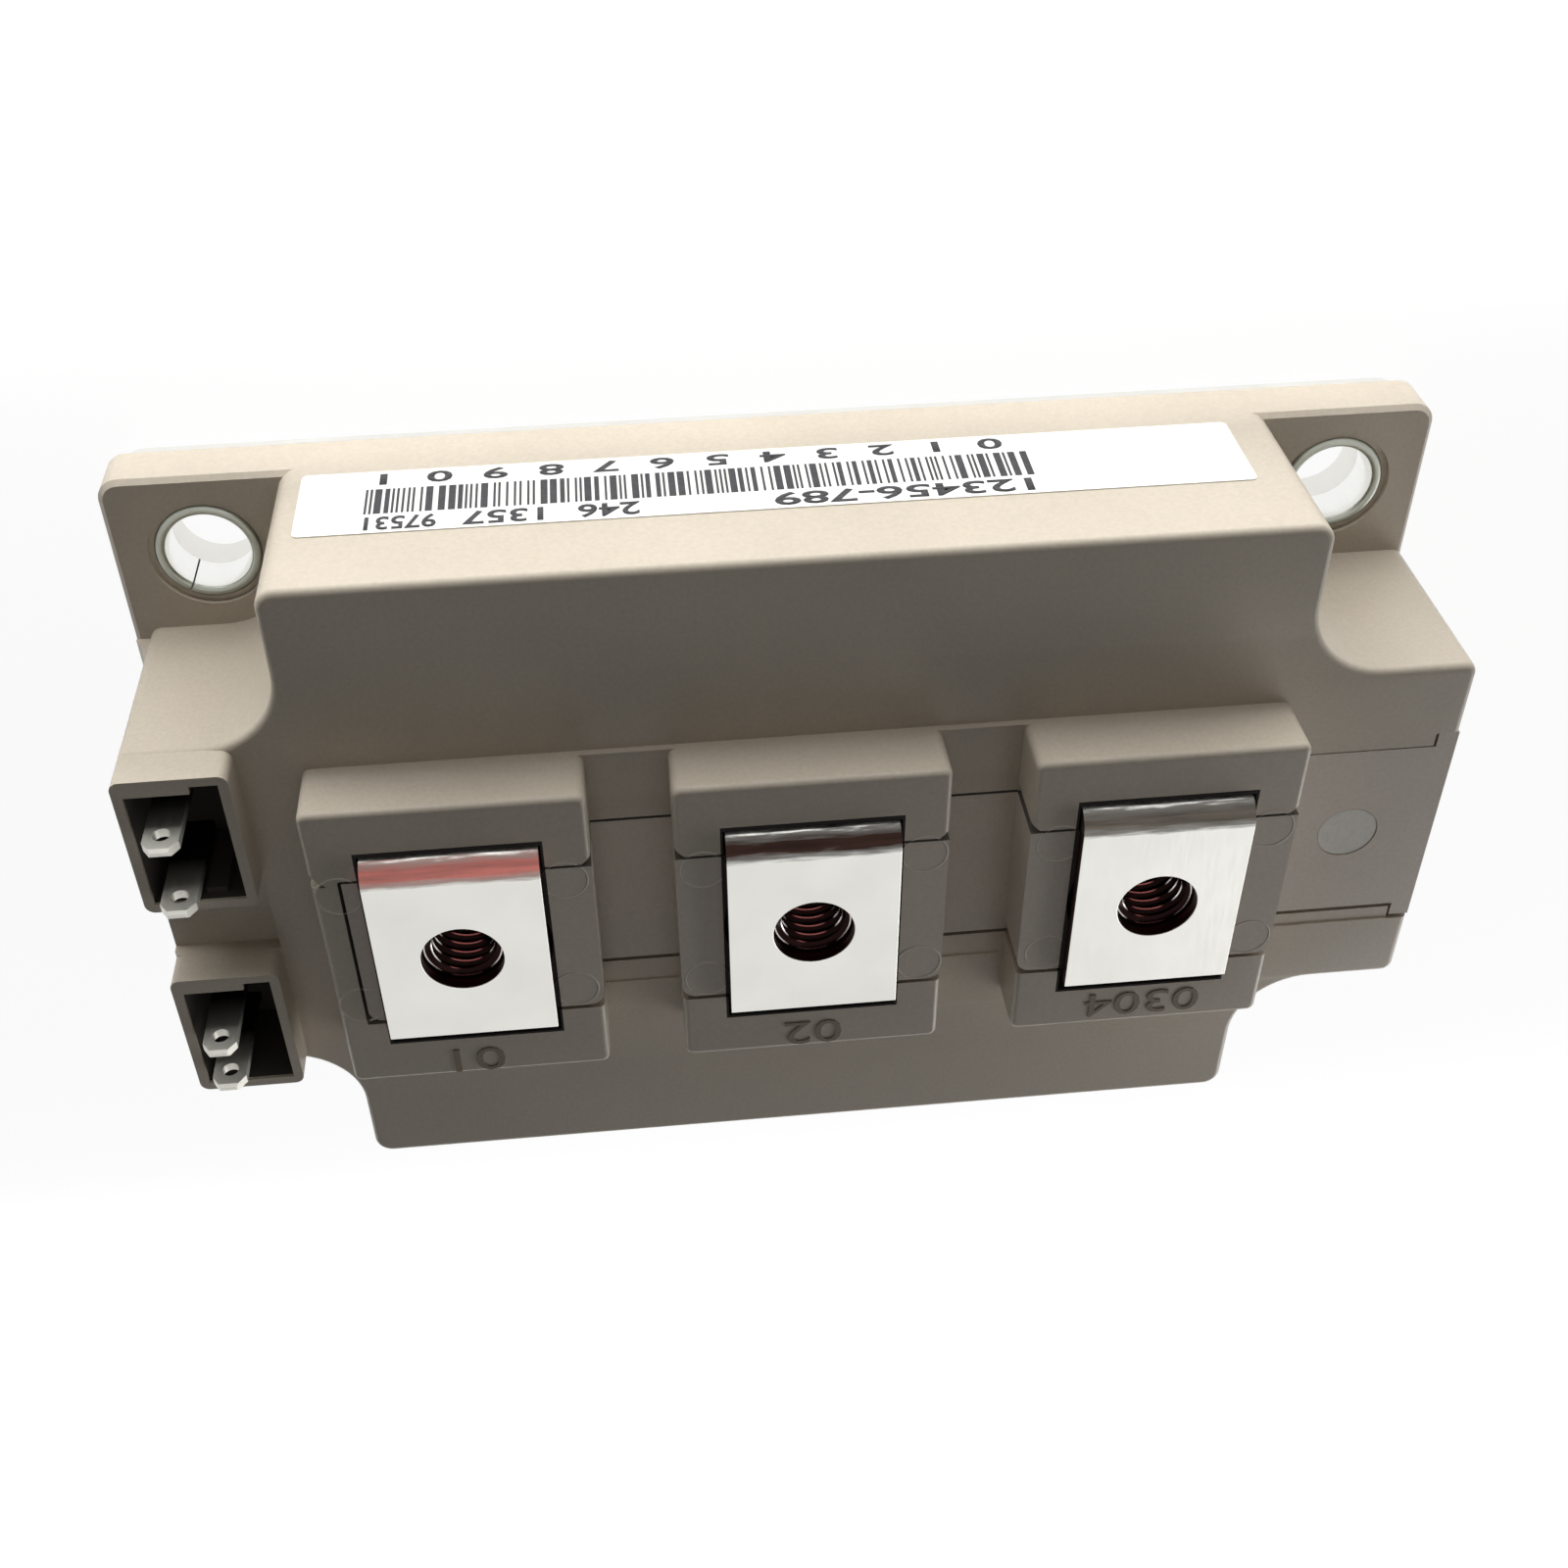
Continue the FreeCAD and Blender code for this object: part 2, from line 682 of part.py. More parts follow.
def make_nut_bar():
    body = new_body("nut_bar", y=-s.bar_shift)
    gap = s.bar_clearance
    bottom = channel_bottom
    half_strip = s.channel_width / 2 - gap
    half_throat = s.channel_throat / 2 - gap
    tip = channel_end - gap
    sketch = sketch_on(body, "XY_Plane", bottom)
    rectangle(sketch, -half_length, tip, -half_strip, half_strip)
    pad(body, sketch, channel_lip - gap - bottom)
    sketch = sketch_on(body, "XY_Plane", bottom)
    neck = -half_plateau - gap
    shoulder = s.head_length - half_length
    half_head = s.head_width / 2
    outline(sketch, [
        (-half_length, -half_head), (shoulder, -half_head), (shoulder, -half_strip),
        (neck, -half_strip), (neck, half_strip), (shoulder, half_strip),
        (shoulder, half_head), (-half_length, half_head),
    ])
    pad(body, sketch, guide_floor - bottom)
    sketch = sketch_on(body, "XY_Plane", bottom)
    rectangle(sketch, -half_plateau, tip, -half_throat, half_throat)
    pad(body, sketch, web_top - bottom)
    sketch = sketch_on(body, "XY_Plane", bottom)
    for place in terminal_places:
        left = place - island_length / 2
        right = place + island_length / 2
        if place is terminal_places[0]:
            right = tip
        outline(sketch, [(left, -half_throat), (right, -half_throat),
                         (right, half_throat, s.bar_corner), (left, half_throat, s.bar_corner)])
    pad(body, sketch, island_top - bottom)

    sketch = sketch_on(body, "XY_Plane", island_top)
    for place in terminal_places:
        circle(sketch, place, 0, s.nut_recess)
    pocket(body, sketch, s.nut_recess_depth)
    sketch = sketch_on(body, "XY_Plane", island_top)
    half_flats = s.nut_flats / 2 + s.nut_clearance
    half_corners = half_flats * (2 / math.sqrt(3))
    for place in terminal_places:
        polygon(sketch, [(place + half_corners * u, half_flats * v) for u, v in
                         ((1, 0), (0.5, 1), (-0.5, 1), (-1, 0), (-0.5, -1), (0.5, -1))])
    nut_seat = s.terminal_top - s.strap_thickness - s.nut_height
    pocket(body, sketch, island_top - nut_seat)
    sketch = sketch_on(body, "XY_Plane", nut_seat)
    for place in terminal_places:
        circle(sketch, place, 0, s.screw_relief)
    pocket(body, sketch, nut_seat + s.screw_depth - s.terminal_top)
    sketch = sketch_on(body, "XY_Plane", guide_floor)
    circle(sketch, -(half_length + half_plateau) / 2, 0, s.ejector_mark)
    pocket(body, sketch, s.ejector_depth)


# Hexagon nuts, one loose in each block's pocket under the strap


def make_nut(label, place):
    height = s.nut_height
    prism = doc.addObject("Part::Prism", "hexagon")
    prism.Polygon = 6
    bind(prism, "Circumradius", s.nut_flats / math.sqrt(3))
    bind(prism, "Height", height)
    hole = doc.addObject("Part::Cylinder", "bore")
    bind(hole, "Radius", s.nut_bore / 2)
    bind(hole, "Height", height)
    nut = doc.addObject("Part::Cut", label)
    nut.Base = prism
    nut.Tool = hole
    name_sub_part(nut, label, place, -s.bar_shift, s.terminal_top - s.strap_thickness - height)


# Main terminals: nickel-plated copper straps, bent over the nuts, with a leg and a foot inside


def make_terminal(label, place, leg_offset):
    body = new_body(label, x=place)
    sketch = sketch_on(body, "YZ_Plane")
    thickness = s.strap_thickness
    face, back = -s.strap_face, thickness - s.strap_face
    under = s.terminal_top - thickness
    outer_bend, outer_foot = s.strap_bend + thickness, s.foot_bend + thickness
    toe = -s.strap_face - s.foot_length
    outline(sketch, [
        (s.strap_reach, under), (s.strap_reach, s.terminal_top),
        (face, s.terminal_top, outer_bend), (face, copper_top + thickness, s.foot_bend),
        (toe, copper_top + thickness), (toe, copper_top),
        (back, copper_top, outer_foot), (back, under, s.strap_bend),
    ])
    pad(body, sketch, s.strap_width, both_ways=True)
    sketch = sketch_on(body, "XZ_Plane")
    half_strap = s.strap_width / 2
    half_leg = s.leg_width / 2
    beyond = half_strap + thickness
    rectangle(sketch, -beyond, leg_offset - half_leg, 0, leg_top)
    rectangle(sketch, leg_offset + half_leg, beyond, 0, leg_top)
    pocket(body, sketch, s.case_width, both_ways=True)
    sketch = sketch_on(body, "XY_Plane", s.terminal_top)
    circle(sketch, 0, 0, s.strap_hole)
    pocket(body, sketch, thickness)


# Control tabs: flat stamped pins with a pierced, pointed end in the socket and an arm inside


def make_control_tab(label, face, foot_x):
    body = new_body(label, y=face)
    sketch = sketch_on(body, "XZ_Plane")
    half_tab = s.tab_width / 2
    left, right = tab_x - half_tab, tab_x + half_tab
    arm_top = arm_bottom + s.arm_height
    point = s.tab_point
    shoulder = tab_top - point * 1.5
    polygon(sketch, [
        (right - point, tab_top), (right, shoulder), (right, arm_bottom),
        (foot_x + s.pin_width, arm_bottom), (foot_x + s.pin_width, copper_top),
        (foot_x, copper_top), (foot_x, arm_top), (left, arm_top), (left, shoulder),
        (left + point, tab_top),
    ])
    blade = pad(body, sketch, s.tab_thickness, backwards=True)
    tip = float(tab_top)
    soften(body, blade, "Chamfer", s.tab_thickness * 0.3,
           lambda box, edge: box.ZMin > tip - 0.01 and box.YLength < 0.01)
    sketch = sketch_on(body, "XZ_Plane")
    circle(sketch, tab_x, tab_top - s.tab_hole_drop, s.tab_hole)
    pocket(body, sketch, s.tab_thickness * 4, both_ways=True)


# Screw collars: rolled steel rings with a slit, pressed into the ears down to the plate


def make_collar(label, x, y, slit_angle):
    body = new_body(label, x=x, y=y, z=collar_foot)
    height = s.ear_top - s.collar_drop - s.plate_thickness
    sketch = sketch_on(body, "XY_Plane")
    circle(sketch, 0, 0, s.collar_outer)
    circle(sketch, 0, 0, s.collar_bore)
    pad(body, sketch, height)
    sketch = sketch_on(body, "XY_Plane", height)
    rectangle(sketch, s.collar_bore / 4, s.collar_outer, -s.collar_slit / 2, s.collar_slit / 2)
    pocket(body, sketch, height)
    body.Placement.Rotation = FreeCAD.Rotation(FreeCAD.Vector(0, 0, 1), slit_angle)


# Label: a paper sticker on the long wall


def make_label():
    sticker = doc.addObject("Part::Box", "label")
    length = (half_body - s.label_end_gap) * 2
    bind(sticker, "Length", length)
    bind(sticker, "Width", s.label_thickness)
    bind(sticker, "Height", s.label_height)
    name_sub_part(sticker, "label", s.label_x - length / 2,
                  -half_width - s.label_thickness, s.label_bottom)


# Ceramic tiles with copper below and copper tracks above, and the chips on the tracks


def make_slab(label, left, right, front, back, bottom, thickness):
    slab = doc.addObject("Part::Box", label)
    bind(slab, "Length", right - left)
    bind(slab, "Width", back - front)
    bind(slab, "Height", thickness)
    name_sub_part(slab, label, left, front, bottom)
    return slab


def track_edges(side):
    """Distances from a tile's centre, towards side, where its emitter and collector tracks start and end."""
    control_room = s.control_track + s.track_gap
    emitter_start = -track_end if side > 0 else control_room - track_end
    emitter_end = emitter_start + s.emitter_track
    collector_end = track_end - control_room if side > 0 else track_end
    return emitter_start, emitter_end, emitter_end + s.track_gap, collector_end


def make_tile(number, centre, side):
    """A tile and its tracks; side is 1 where the collector track is at +X and -1 where at -X."""
    half_wide = tile_width / 2
    inner = [centre - half_tile, centre + half_tile, -half_wide, half_wide]
    copper = s.copper_thickness
    margin = s.copper_margin
    plate_top = s.plate_thickness
    pieces = [make_slab(f"lower_copper_{number}", inner[0] + margin, inner[1] - margin,
                        inner[2] + margin, inner[3] - margin, plate_top, copper)]
    pieces.append(make_slab(f"ceramic_tile_{number}", *inner, plate_top + copper, s.tile_thickness))
    bottom = copper_top - copper
    front, back = -half_wide + s.track_inset, half_wide - s.track_inset
    emitter_start, emitter_end, collector_start, collector_end = (
        centre + side * edge for edge in track_edges(side))

    emitter = new_body(f"emitter_track_{number}", z=bottom)
    sketch = sketch_on(emitter, "XY_Plane")
    if side > 0:
        rectangle(sketch, emitter_start, emitter_end, front, back)
    else:
        pad_edge = centre + track_end
        outline(sketch, [(emitter_end, front), (pad_edge, front), (pad_edge, -s.emitter_pad_back),
                         (emitter_start, -s.emitter_pad_back), (emitter_start, back), (emitter_end, back)])
    pad(emitter, sketch, copper)
    pieces.append(emitter)
    left, right = sorted((collector_start, collector_end), key=float)
    pieces.append(make_slab(f"collector_track_{number}", left, right, front, back, bottom, copper))
    right = centre + track_end
    faces = tab_faces[:2] if side > 0 else tab_faces[2:]
    for name, face in zip(("gate", "sense"), faces):
        middle = face + s.tab_thickness / 2
        pieces.append(make_slab(f"{name}_track_{number}", right - s.control_track, right,
                                middle - s.control_track / 2, middle + s.control_track / 2,
                                bottom, copper))
    return pieces


def chip_places(centre, side):
    """Centres of the transistor and the diode in each row of a tile."""
    transistor_x = track_edges(side)[2] + s.chip_inset + transistor_side / 2
    diode_x = transistor_x + transistor_side / 2 + s.chip_gap + diode_side / 2
    rows = [last_chip_row - s.chip_row_pitch, last_chip_row]
    return [(centre + side * transistor_x, centre + side * diode_x, row) for row in rows]


def make_chips(number, centre, side):
    pieces = []
    for row, (transistor_x, diode_x, y) in enumerate(chip_places(centre, side), start=1):
        for name, x, edge in (("transistor", transistor_x, transistor_side), ("diode", diode_x, diode_side)):
            half = edge / 2
            pieces.append(make_slab(f"{name}_chip_{number}_{row}", x - half, x + half,
                                    y - half, y + half, copper_top, s.chip_thickness))
    return pieces


# Bond wires: aluminium loops from emitter track to transistor and from transistor to diode


def wire_band(sketch, start, end, side, start_z, end_z):
    """Draw one loop as a bent band that leans in over its two feet."""
    crest = chip_top + s.wire_loop
    lean, size = side * s.wire_lean, side * s.wire_size
    polygon(sketch, [
        (start, start_z), (start + lean, crest), (end - lean, crest), (end, end_z),
        (end - size, end_z), (end - lean - size / 2, crest - s.wire_size),
        (start + lean + size / 2, crest - s.wire_size), (start + size, start_z),
    ])


def make_wires(number, centre, side):
    body = new_body(f"bond_wires_{number}")
    foot = centre + side * (track_edges(side)[0] + s.emitter_track / 2)
    for transistor_x, diode_x, y in chip_places(centre, side):
        near = transistor_x - side * transistor_side / 4
        far = transistor_x + side * transistor_side / 4
        sketch = sketch_on(body, "XZ_Plane", y - s.wire_spacing / 2)
        wire_band(sketch, foot, near, side, copper_top, chip_top)
        wire_band(sketch, far, diode_x, side, chip_top, chip_top)
        loops = pad(body, sketch, s.wire_size, both_ways=True)
        pattern = body.newObject("PartDesign::LinearPattern", "row")
        pattern.Originals = [loops]
        pattern.Direction = (sketch, ["N_Axis"])
        pattern.Reversed = True
        bind(pattern, "Length", s.wire_spacing)
        pattern.Occurrences = 2
        body.Tip = pattern
        doc.recompute()
    return body


# Link strap: a low copper bridge from one tile's emitter track to the other's collector track


def make_link_strap():
    body = new_body("link_strap", y=link_y)
    sketch = sketch_on(body, "XZ_Plane")
    thickness = s.link_thickness
    start = tile_places[0] - track_end + s.track_gap
    finish = tile_places[1] - track_edges(-1)[2] - thickness - s.track_gap / 2
    high = copper_top + s.link_height
    outline(sketch, [
        (start + s.link_foot, copper_top), (start + s.link_foot, copper_top + thickness),
        (start, copper_top + thickness), (start, high),
        (finish, high), (finish, copper_top + thickness),
        (finish - s.link_foot, copper_top + thickness), (finish - s.link_foot, copper_top),
        (finish + thickness, copper_top), (finish + thickness, high - thickness),
        (start - thickness, high - thickness), (start - thickness, copper_top),
    ])
    pad(body, sketch, s.link_width, both_ways=True)
    return body


# Silicone gel: fills the bottom of the case round everything that stands in it


def make_gel(inner_pieces):
    block = doc.addObject("PartDesign::Body", "gel_block")
    sketch = sketch_on(block, "XY_Plane", s.plate_thickness)
    inner_body, inner_width = half_body - s.wall, half_width - s.wall
    inner_end = half_end - s.wall
    right, left = socket_face - s.socket_end_wall, s.wall - half_length
    outline(sketch, [
        (-inner_body, -inner_width), (inner_body, -inner_width), (inner_body, -inner_end),
        (right, -inner_end), (right, inner_end), (inner_body, inner_end),
        (inner_body, inner_width), (-inner_body, inner_width), (-inner_body, inner_end),
        (left, inner_end), (left, -inner_end), (-inner_body, -inner_end),
    ])
    pad(block, sketch, gel_top - s.plate_thickness)
    pieces = doc.addObject("Part::Compound", "pieces_in_gel")
    pieces.Links = inner_pieces
    gel = doc.addObject("Part::Cut", "silicone_gel")
    gel.Base = block
    gel.Tool = pieces
    name_sub_part(gel, "silicone_gel")


def build():
    make_base_plate()
    make_case()
    make_nut_bar()
    make_label()
    for number, ((x, y), slit_angle) in enumerate(zip(collar_places, (58, 150, 235, 310)), start=1):
        make_collar(f"screw_collar_{number}", x, y, slit_angle)
    terminals = ("collector_terminal", "emitter_terminal", "output_terminal")
    offsets = (s.leg_offset, s.middle_leg_offset, s.leg_offset)
    for number, (label, place, offset) in enumerate(zip(terminals, terminal_places, offsets), start=1):
        make_terminal(label, place, offset)
        make_nut(f"terminal_nut_{number}", place)
    pin_one = tile_places[0] + track_end - (s.control_track + s.pin_width) / 2
    pin_two = tile_places[1] + track_end - (s.control_track + s.pin_width) / 2
    tabs = ("gate_tab_1", "sense_tab_1", "gate_tab_2", "sense_tab_2")
    for label, face, foot_x in zip(tabs, tab_faces, (pin_one, pin_one, pin_two, pin_two)):
        make_control_tab(label, face, foot_x)
    in_gel = [piece for piece in sub_parts if piece.Label in terminals + tabs]
    for number, (centre, side) in enumerate(zip(tile_places, (1, -1)), start=1):
        in_gel += make_tile(number, centre, side)
        in_gel += make_chips(number, centre, side)
        in_gel.append(make_wires(number, centre, side))
    in_gel.append(make_link_strap())
    make_gel(in_gel)


def check_objects():
    """Stop if any object failed or any sub-part has no valid shape."""
    for obj in doc.Objects:
        if "Invalid" in obj.State or "Error" in obj.State:
            raise RuntimeError(f"{obj.Label} failed: {obj.State}")
    for piece in sub_parts:
        if piece.Shape.isNull() or not piece.Shape.isValid():
            raise RuntimeError(f"{piece.Label} has no valid shape")


def write_steps():
    os.makedirs("parts", exist_ok=True)
    for piece in sub_parts:
        piece.Shape.exportStep(os.path.join("parts", f"{piece.Label}.step"))


build()
doc.recompute()
check_objects()
write_steps()
for piece in sub_parts:
    print(f"{piece.Label}: {piece.Shape.Volume:.1f} mm3, {len(piece.Shape.Faces)} faces")
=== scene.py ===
import math
import random

import bmesh
import bpy
from mathutils import Matrix, Vector


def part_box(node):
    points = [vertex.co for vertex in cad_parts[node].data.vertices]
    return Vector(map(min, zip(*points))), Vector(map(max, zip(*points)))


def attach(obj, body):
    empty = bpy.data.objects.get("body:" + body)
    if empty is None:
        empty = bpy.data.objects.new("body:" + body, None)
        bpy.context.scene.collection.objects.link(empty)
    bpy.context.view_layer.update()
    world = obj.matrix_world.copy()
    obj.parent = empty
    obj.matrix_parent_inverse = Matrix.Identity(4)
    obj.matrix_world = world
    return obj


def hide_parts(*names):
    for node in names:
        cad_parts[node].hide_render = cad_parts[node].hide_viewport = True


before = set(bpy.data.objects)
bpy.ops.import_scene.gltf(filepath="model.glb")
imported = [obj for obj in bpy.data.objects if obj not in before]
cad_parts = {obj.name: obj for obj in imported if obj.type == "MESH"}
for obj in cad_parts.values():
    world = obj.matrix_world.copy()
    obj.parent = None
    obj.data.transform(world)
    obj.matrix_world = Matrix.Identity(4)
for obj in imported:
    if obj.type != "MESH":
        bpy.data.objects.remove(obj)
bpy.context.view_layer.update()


# Camera
# A hand-held close view from the labelled side, held so that the picture stands on its head.
# The labelled wall faces -Y and is at the top of the picture, and +X is at its left.

MM = 0.001
FOCAL_PIXELS = 1881.41
PICTURE_PIXELS = 1600
SENSOR_WIDTH = 36.0
CAMERA_PLACE = (12.91565, -103.83650, 137.49802)

camera_data = bpy.data.cameras.new("camera")
camera_data.sensor_width = SENSOR_WIDTH
camera_data.lens = SENSOR_WIDTH * FOCAL_PIXELS / PICTURE_PIXELS
camera_data.shift_x = 0.01233
camera_data.shift_y = 0.01285
camera_data.clip_start = 0.005
camera_data.clip_end = 20.0
camera = bpy.data.objects.new("camera", camera_data)
bpy.context.scene.collection.objects.link(camera)
camera_right = Vector((-0.99536568, 0.01242746, 0.09535575))
camera_down = Vector((0.07091646, 0.76458342, 0.64061147))
camera_ahead = Vector((-0.06494625, 0.64440496, -0.7619214))
turn = Matrix((camera_right, -camera_down, -camera_ahead)).transposed().to_4x4()
camera.matrix_world = Matrix.Translation(Vector(CAMERA_PLACE) * MM) @ turn
bpy.context.scene.camera = camera
bpy.context.scene.view_settings.view_transform = "Standard"


# Daylight studio
# A pale table that shows as white, with lamps just over it on both long sides, so that the table
# lights the walls and leaves the tops dim. A low window, a weak ceiling and an end light fill in.


def linear(code):
    """Turn an sRGB colour such as "#A1937F" to the linear colour that shaders take."""
    parts = [int(code[place:place + 2], 16) / 255 for place in (1, 3, 5)]
    return [part / 12.92 if part <= 0.04045 else ((part + 0.055) / 1.055) ** 2.4 for part in parts] + [1.0]


def add_node(tree, kind, values=None, links=None, **settings):
    """Add a node to a tree, with its settings, its socket values and the outputs that feed it."""
    made = tree.nodes.new(kind)
    for name, value in settings.items():
        setattr(made, name, value)
    for socket, value in (values or {}).items():
        made.inputs[socket].default_value = value
    for socket, source in (links or {}).items():
        tree.links.new(source, made.inputs[socket])
    return made


def seen_ray(tree):
    """1 for what the camera sees, straight or in metal or glass, and 0 for light on the object."""
    path = add_node(tree, "ShaderNodeLightPath")
    straight_or_glossy = add_node(tree, "ShaderNodeMath", operation="MAXIMUM",
                                  links={0: path.outputs["Is Camera Ray"], 1: path.outputs["Is Glossy Ray"]})
    either = add_node(tree, "ShaderNodeMath", operation="MAXIMUM",
                      links={0: straight_or_glossy.outputs[0], 1: path.outputs["Is Transmission Ray"]})
    return either.outputs[0]


AMBIENT = 0.022
world = bpy.data.worlds.new("studio")
bpy.context.scene.world = world
world.use_nodes = True
tree = world.node_tree
tree.nodes.clear()
dim = add_node(tree, "ShaderNodeBackground", values={"Color": linear("#FFFFFF"), "Strength": AMBIENT})
white = add_node(tree, "ShaderNodeBackground", values={"Color": linear("#FFFFFF"), "Strength": 1.0})
mixed = add_node(tree, "ShaderNodeMixShader",
                 links={0: seen_ray(tree), 1: dim.outputs[0], 2: white.outputs[0]})
add_node(tree, "ShaderNodeOutputWorld", links={"Surface": mixed.outputs[0]})


def soft_light(name, place, size, towards, watts):
    """Hang a rectangular soft light at a place, in millimetres, aimed along a direction."""
    data = bpy.data.lights.new(name, "AREA")
    data.shape = "RECTANGLE"
    data.size, data.size_y = size[0] * MM, size[1] * MM
    data.energy = watts
    lamp = bpy.data.objects.new(name, data)
    lamp.matrix_world = (Matrix.Translation(Vector(place) * MM)
                         @ Vector(towards).to_track_quat("-Z", "Y").to_matrix().to_4x4())
    lamp.visible_camera = False
    bpy.context.scene.collection.objects.link(lamp)


DOWN = (0, 0, -1)
soft_light("low_window", place=(50, -280, 32), size=(400, 56), towards=(0, 1, 0), watts=0.27)
soft_light("table_light", place=(15, -216, 9), size=(560, 345), towards=DOWN, watts=2.45)
soft_light("back_table_light", place=(0, 240, 9), size=(560, 340), towards=DOWN, watts=2.6)
soft_light("ceiling_light", place=(-60, -60, 620), size=(500, 500), towards=DOWN, watts=0.28)
soft_light("end_light", place=(-160, 110, 75), size=(140, 100), towards=(0.8, -0.6, -0.3), watts=0.14)

TABLE_REACH = 3.0
SHOWN_WHITE = 0.94
bm = bmesh.new()
bmesh.ops.create_grid(bm, x_segments=1, y_segments=1, size=TABLE_REACH)
floor_mesh = bpy.data.meshes.new("floor")
bm.to_mesh(floor_mesh)
bm.free()
floor = bpy.data.objects.new("floor", floor_mesh)
bpy.context.scene.collection.objects.link(floor)
table_top = bpy.data.materials.new("white_painted_table_matt")
table_top.use_nodes = True
tree = table_top.node_tree
tree.nodes.clear()
paint = add_node(tree, "ShaderNodeBsdfDiffuse", values={"Color": linear("#F4F4F2")})
glow = add_node(tree, "ShaderNodeEmission", values={"Color": linear("#FFFFFF"), "Strength": 1.0})
share = add_node(tree, "ShaderNodeMath", operation="MULTIPLY", values={1: SHOWN_WHITE},
                 links={0: seen_ray(tree)})
mixed = add_node(tree, "ShaderNodeMixShader",
                 links={0: share.outputs[0], 1: paint.outputs[0], 2: glow.outputs[0]})
add_node(tree, "ShaderNodeOutputMaterial", links={"Surface": mixed.outputs[0]})
floor_mesh.materials.append(table_top)


# Moulded case and nut bar
# Both are glass-filled polyester, injection moulded in a fine spark-eroded mould and left unpainted.
# The bar is pushed into the channel between the three islands and holds the nuts.


def start_material(name, **values):
    """Start a material on one Principled shader; names of values have _ for spaces."""
    material = bpy.data.materials.new(name)
    material.use_nodes = True
    shader = material.node_tree.nodes["Principled BSDF"]
    for socket, value in values.items():
        shader.inputs[socket.replace("_", " ")].default_value = value
    return material, material.node_tree, shader


def take_up(material):
    """Take up a made material again: its node tree, its shader and its colour so far."""
    tree = material.node_tree
    shader = tree.nodes["Principled BSDF"]
    return tree, shader, shader.inputs["Base Color"].links[0].from_socket


def feed(tree, shader, socket, source):
    """Let a node's output drive a socket of the shader."""
    tree.links.new(source, shader.inputs[socket])


def per_mm(millimetres):
    """Noise scale on Object coordinates that gives marks of this size."""
    return 1.0 / (millimetres * MM)


def moulded_polyester(name, light, dark, smooth=0.30, rough=0.42):
    """Taupe moulded polyester: satin, with slow changes of tone and a fine grain.
    The real grain is about 0.05 mm; it is drawn at 0.35 mm so that it shows in the picture.
    The surface is a little dusty, so it mirrors only half of what bare polyester does."""
    material, tree, shader = start_material(name, IOR=1.56, Specular_IOR_Level=0.25)
    place = add_node(tree, "ShaderNodeTexCoord").outputs["Object"]
    slow = add_node(tree, "ShaderNodeTexNoise", links={"Vector": place},
                    values={"Scale": per_mm(22), "Detail": 3.0, "Roughness": 0.55})
    fine = add_node(tree, "ShaderNodeTexNoise", links={"Vector": place},
                    values={"Scale": per_mm(0.35), "Detail": 2.0})
    tone = add_node(tree, "ShaderNodeMix", data_type="RGBA",
                    values={6: linear(dark), 7: linear(light)}, links={0: slow.outputs["Fac"]})
    fleck = add_node(tree, "ShaderNodeMapRange", values={1: 0.3, 2: 0.7, 3: 0.955, 4: 1.045},
                     links={0: fine.outputs["Fac"]})
    colour = add_node(tree, "ShaderNodeMix", data_type="RGBA", blend_type="MULTIPLY", values={0: 1.0},
                      links={6: tone.outputs[2], 7: fleck.outputs[0]})
    feed(tree, shader, "Base Color", colour.outputs[2])
    gloss = add_node(tree, "ShaderNodeMapRange", values={1: 0.3, 2: 0.7, 3: smooth, 4: rough},
                     links={0: slow.outputs["Fac"]})
    feed(tree, shader, "Roughness", gloss.outputs[0])
    grain = add_node(tree, "ShaderNodeBump", values={"Strength": 0.25, "Distance": 0.02 * MM},
                     links={"Height": fine.outputs["Fac"]})
    feed(tree, shader, "Normal", grain.outputs[0])
    return material


# Painted shade: the slots round the straps, the sockets and the seams of the bar are painted dark and matt,
# where shade falls in them.
# Each place is a box, in millimetres: its middle, its reach to each side and how dark it is.
TERMINAL_PITCH = 28.2
SLOTS = [((x, -0.1, 28.0), (7.25, 10.6, 3.0), 1.0) for x in (TERMINAL_PITCH, 0.0, -TERMINAL_PITCH)]
SOCKETS = [((48.3, y, 20.0), (3.7, 5.85, 7.0), 0.93) for y in (-10.5, 10.5)]
LONG_SEAM = ((-8.6, -7.9, 27.2), (45.4, 0.13, 2.9), 0.85)
END_SEAM = ((36.83, -0.13, 27.2), (0.14, 7.8, 2.9), 0.85)


def inside_box(tree, axes, middle, reach):
    """1 inside a box round a middle, in millimetres, and 0 outside it."""
    tests = [add_node(tree, "ShaderNodeMath", operation="COMPARE", links={0: axes.outputs[axis]},
                      values={1: middle[number] * MM, 2: reach[number] * MM}).outputs[0]
             for number, axis in enumerate("XYZ")]
    flat = add_node(tree, "ShaderNodeMath", operation="MULTIPLY", links={0: tests[0], 1: tests[1]})
    return add_node(tree, "ShaderNodeMath", operation="MULTIPLY",
                    links={0: flat.outputs[0], 1: tests[2]}).outputs[0]


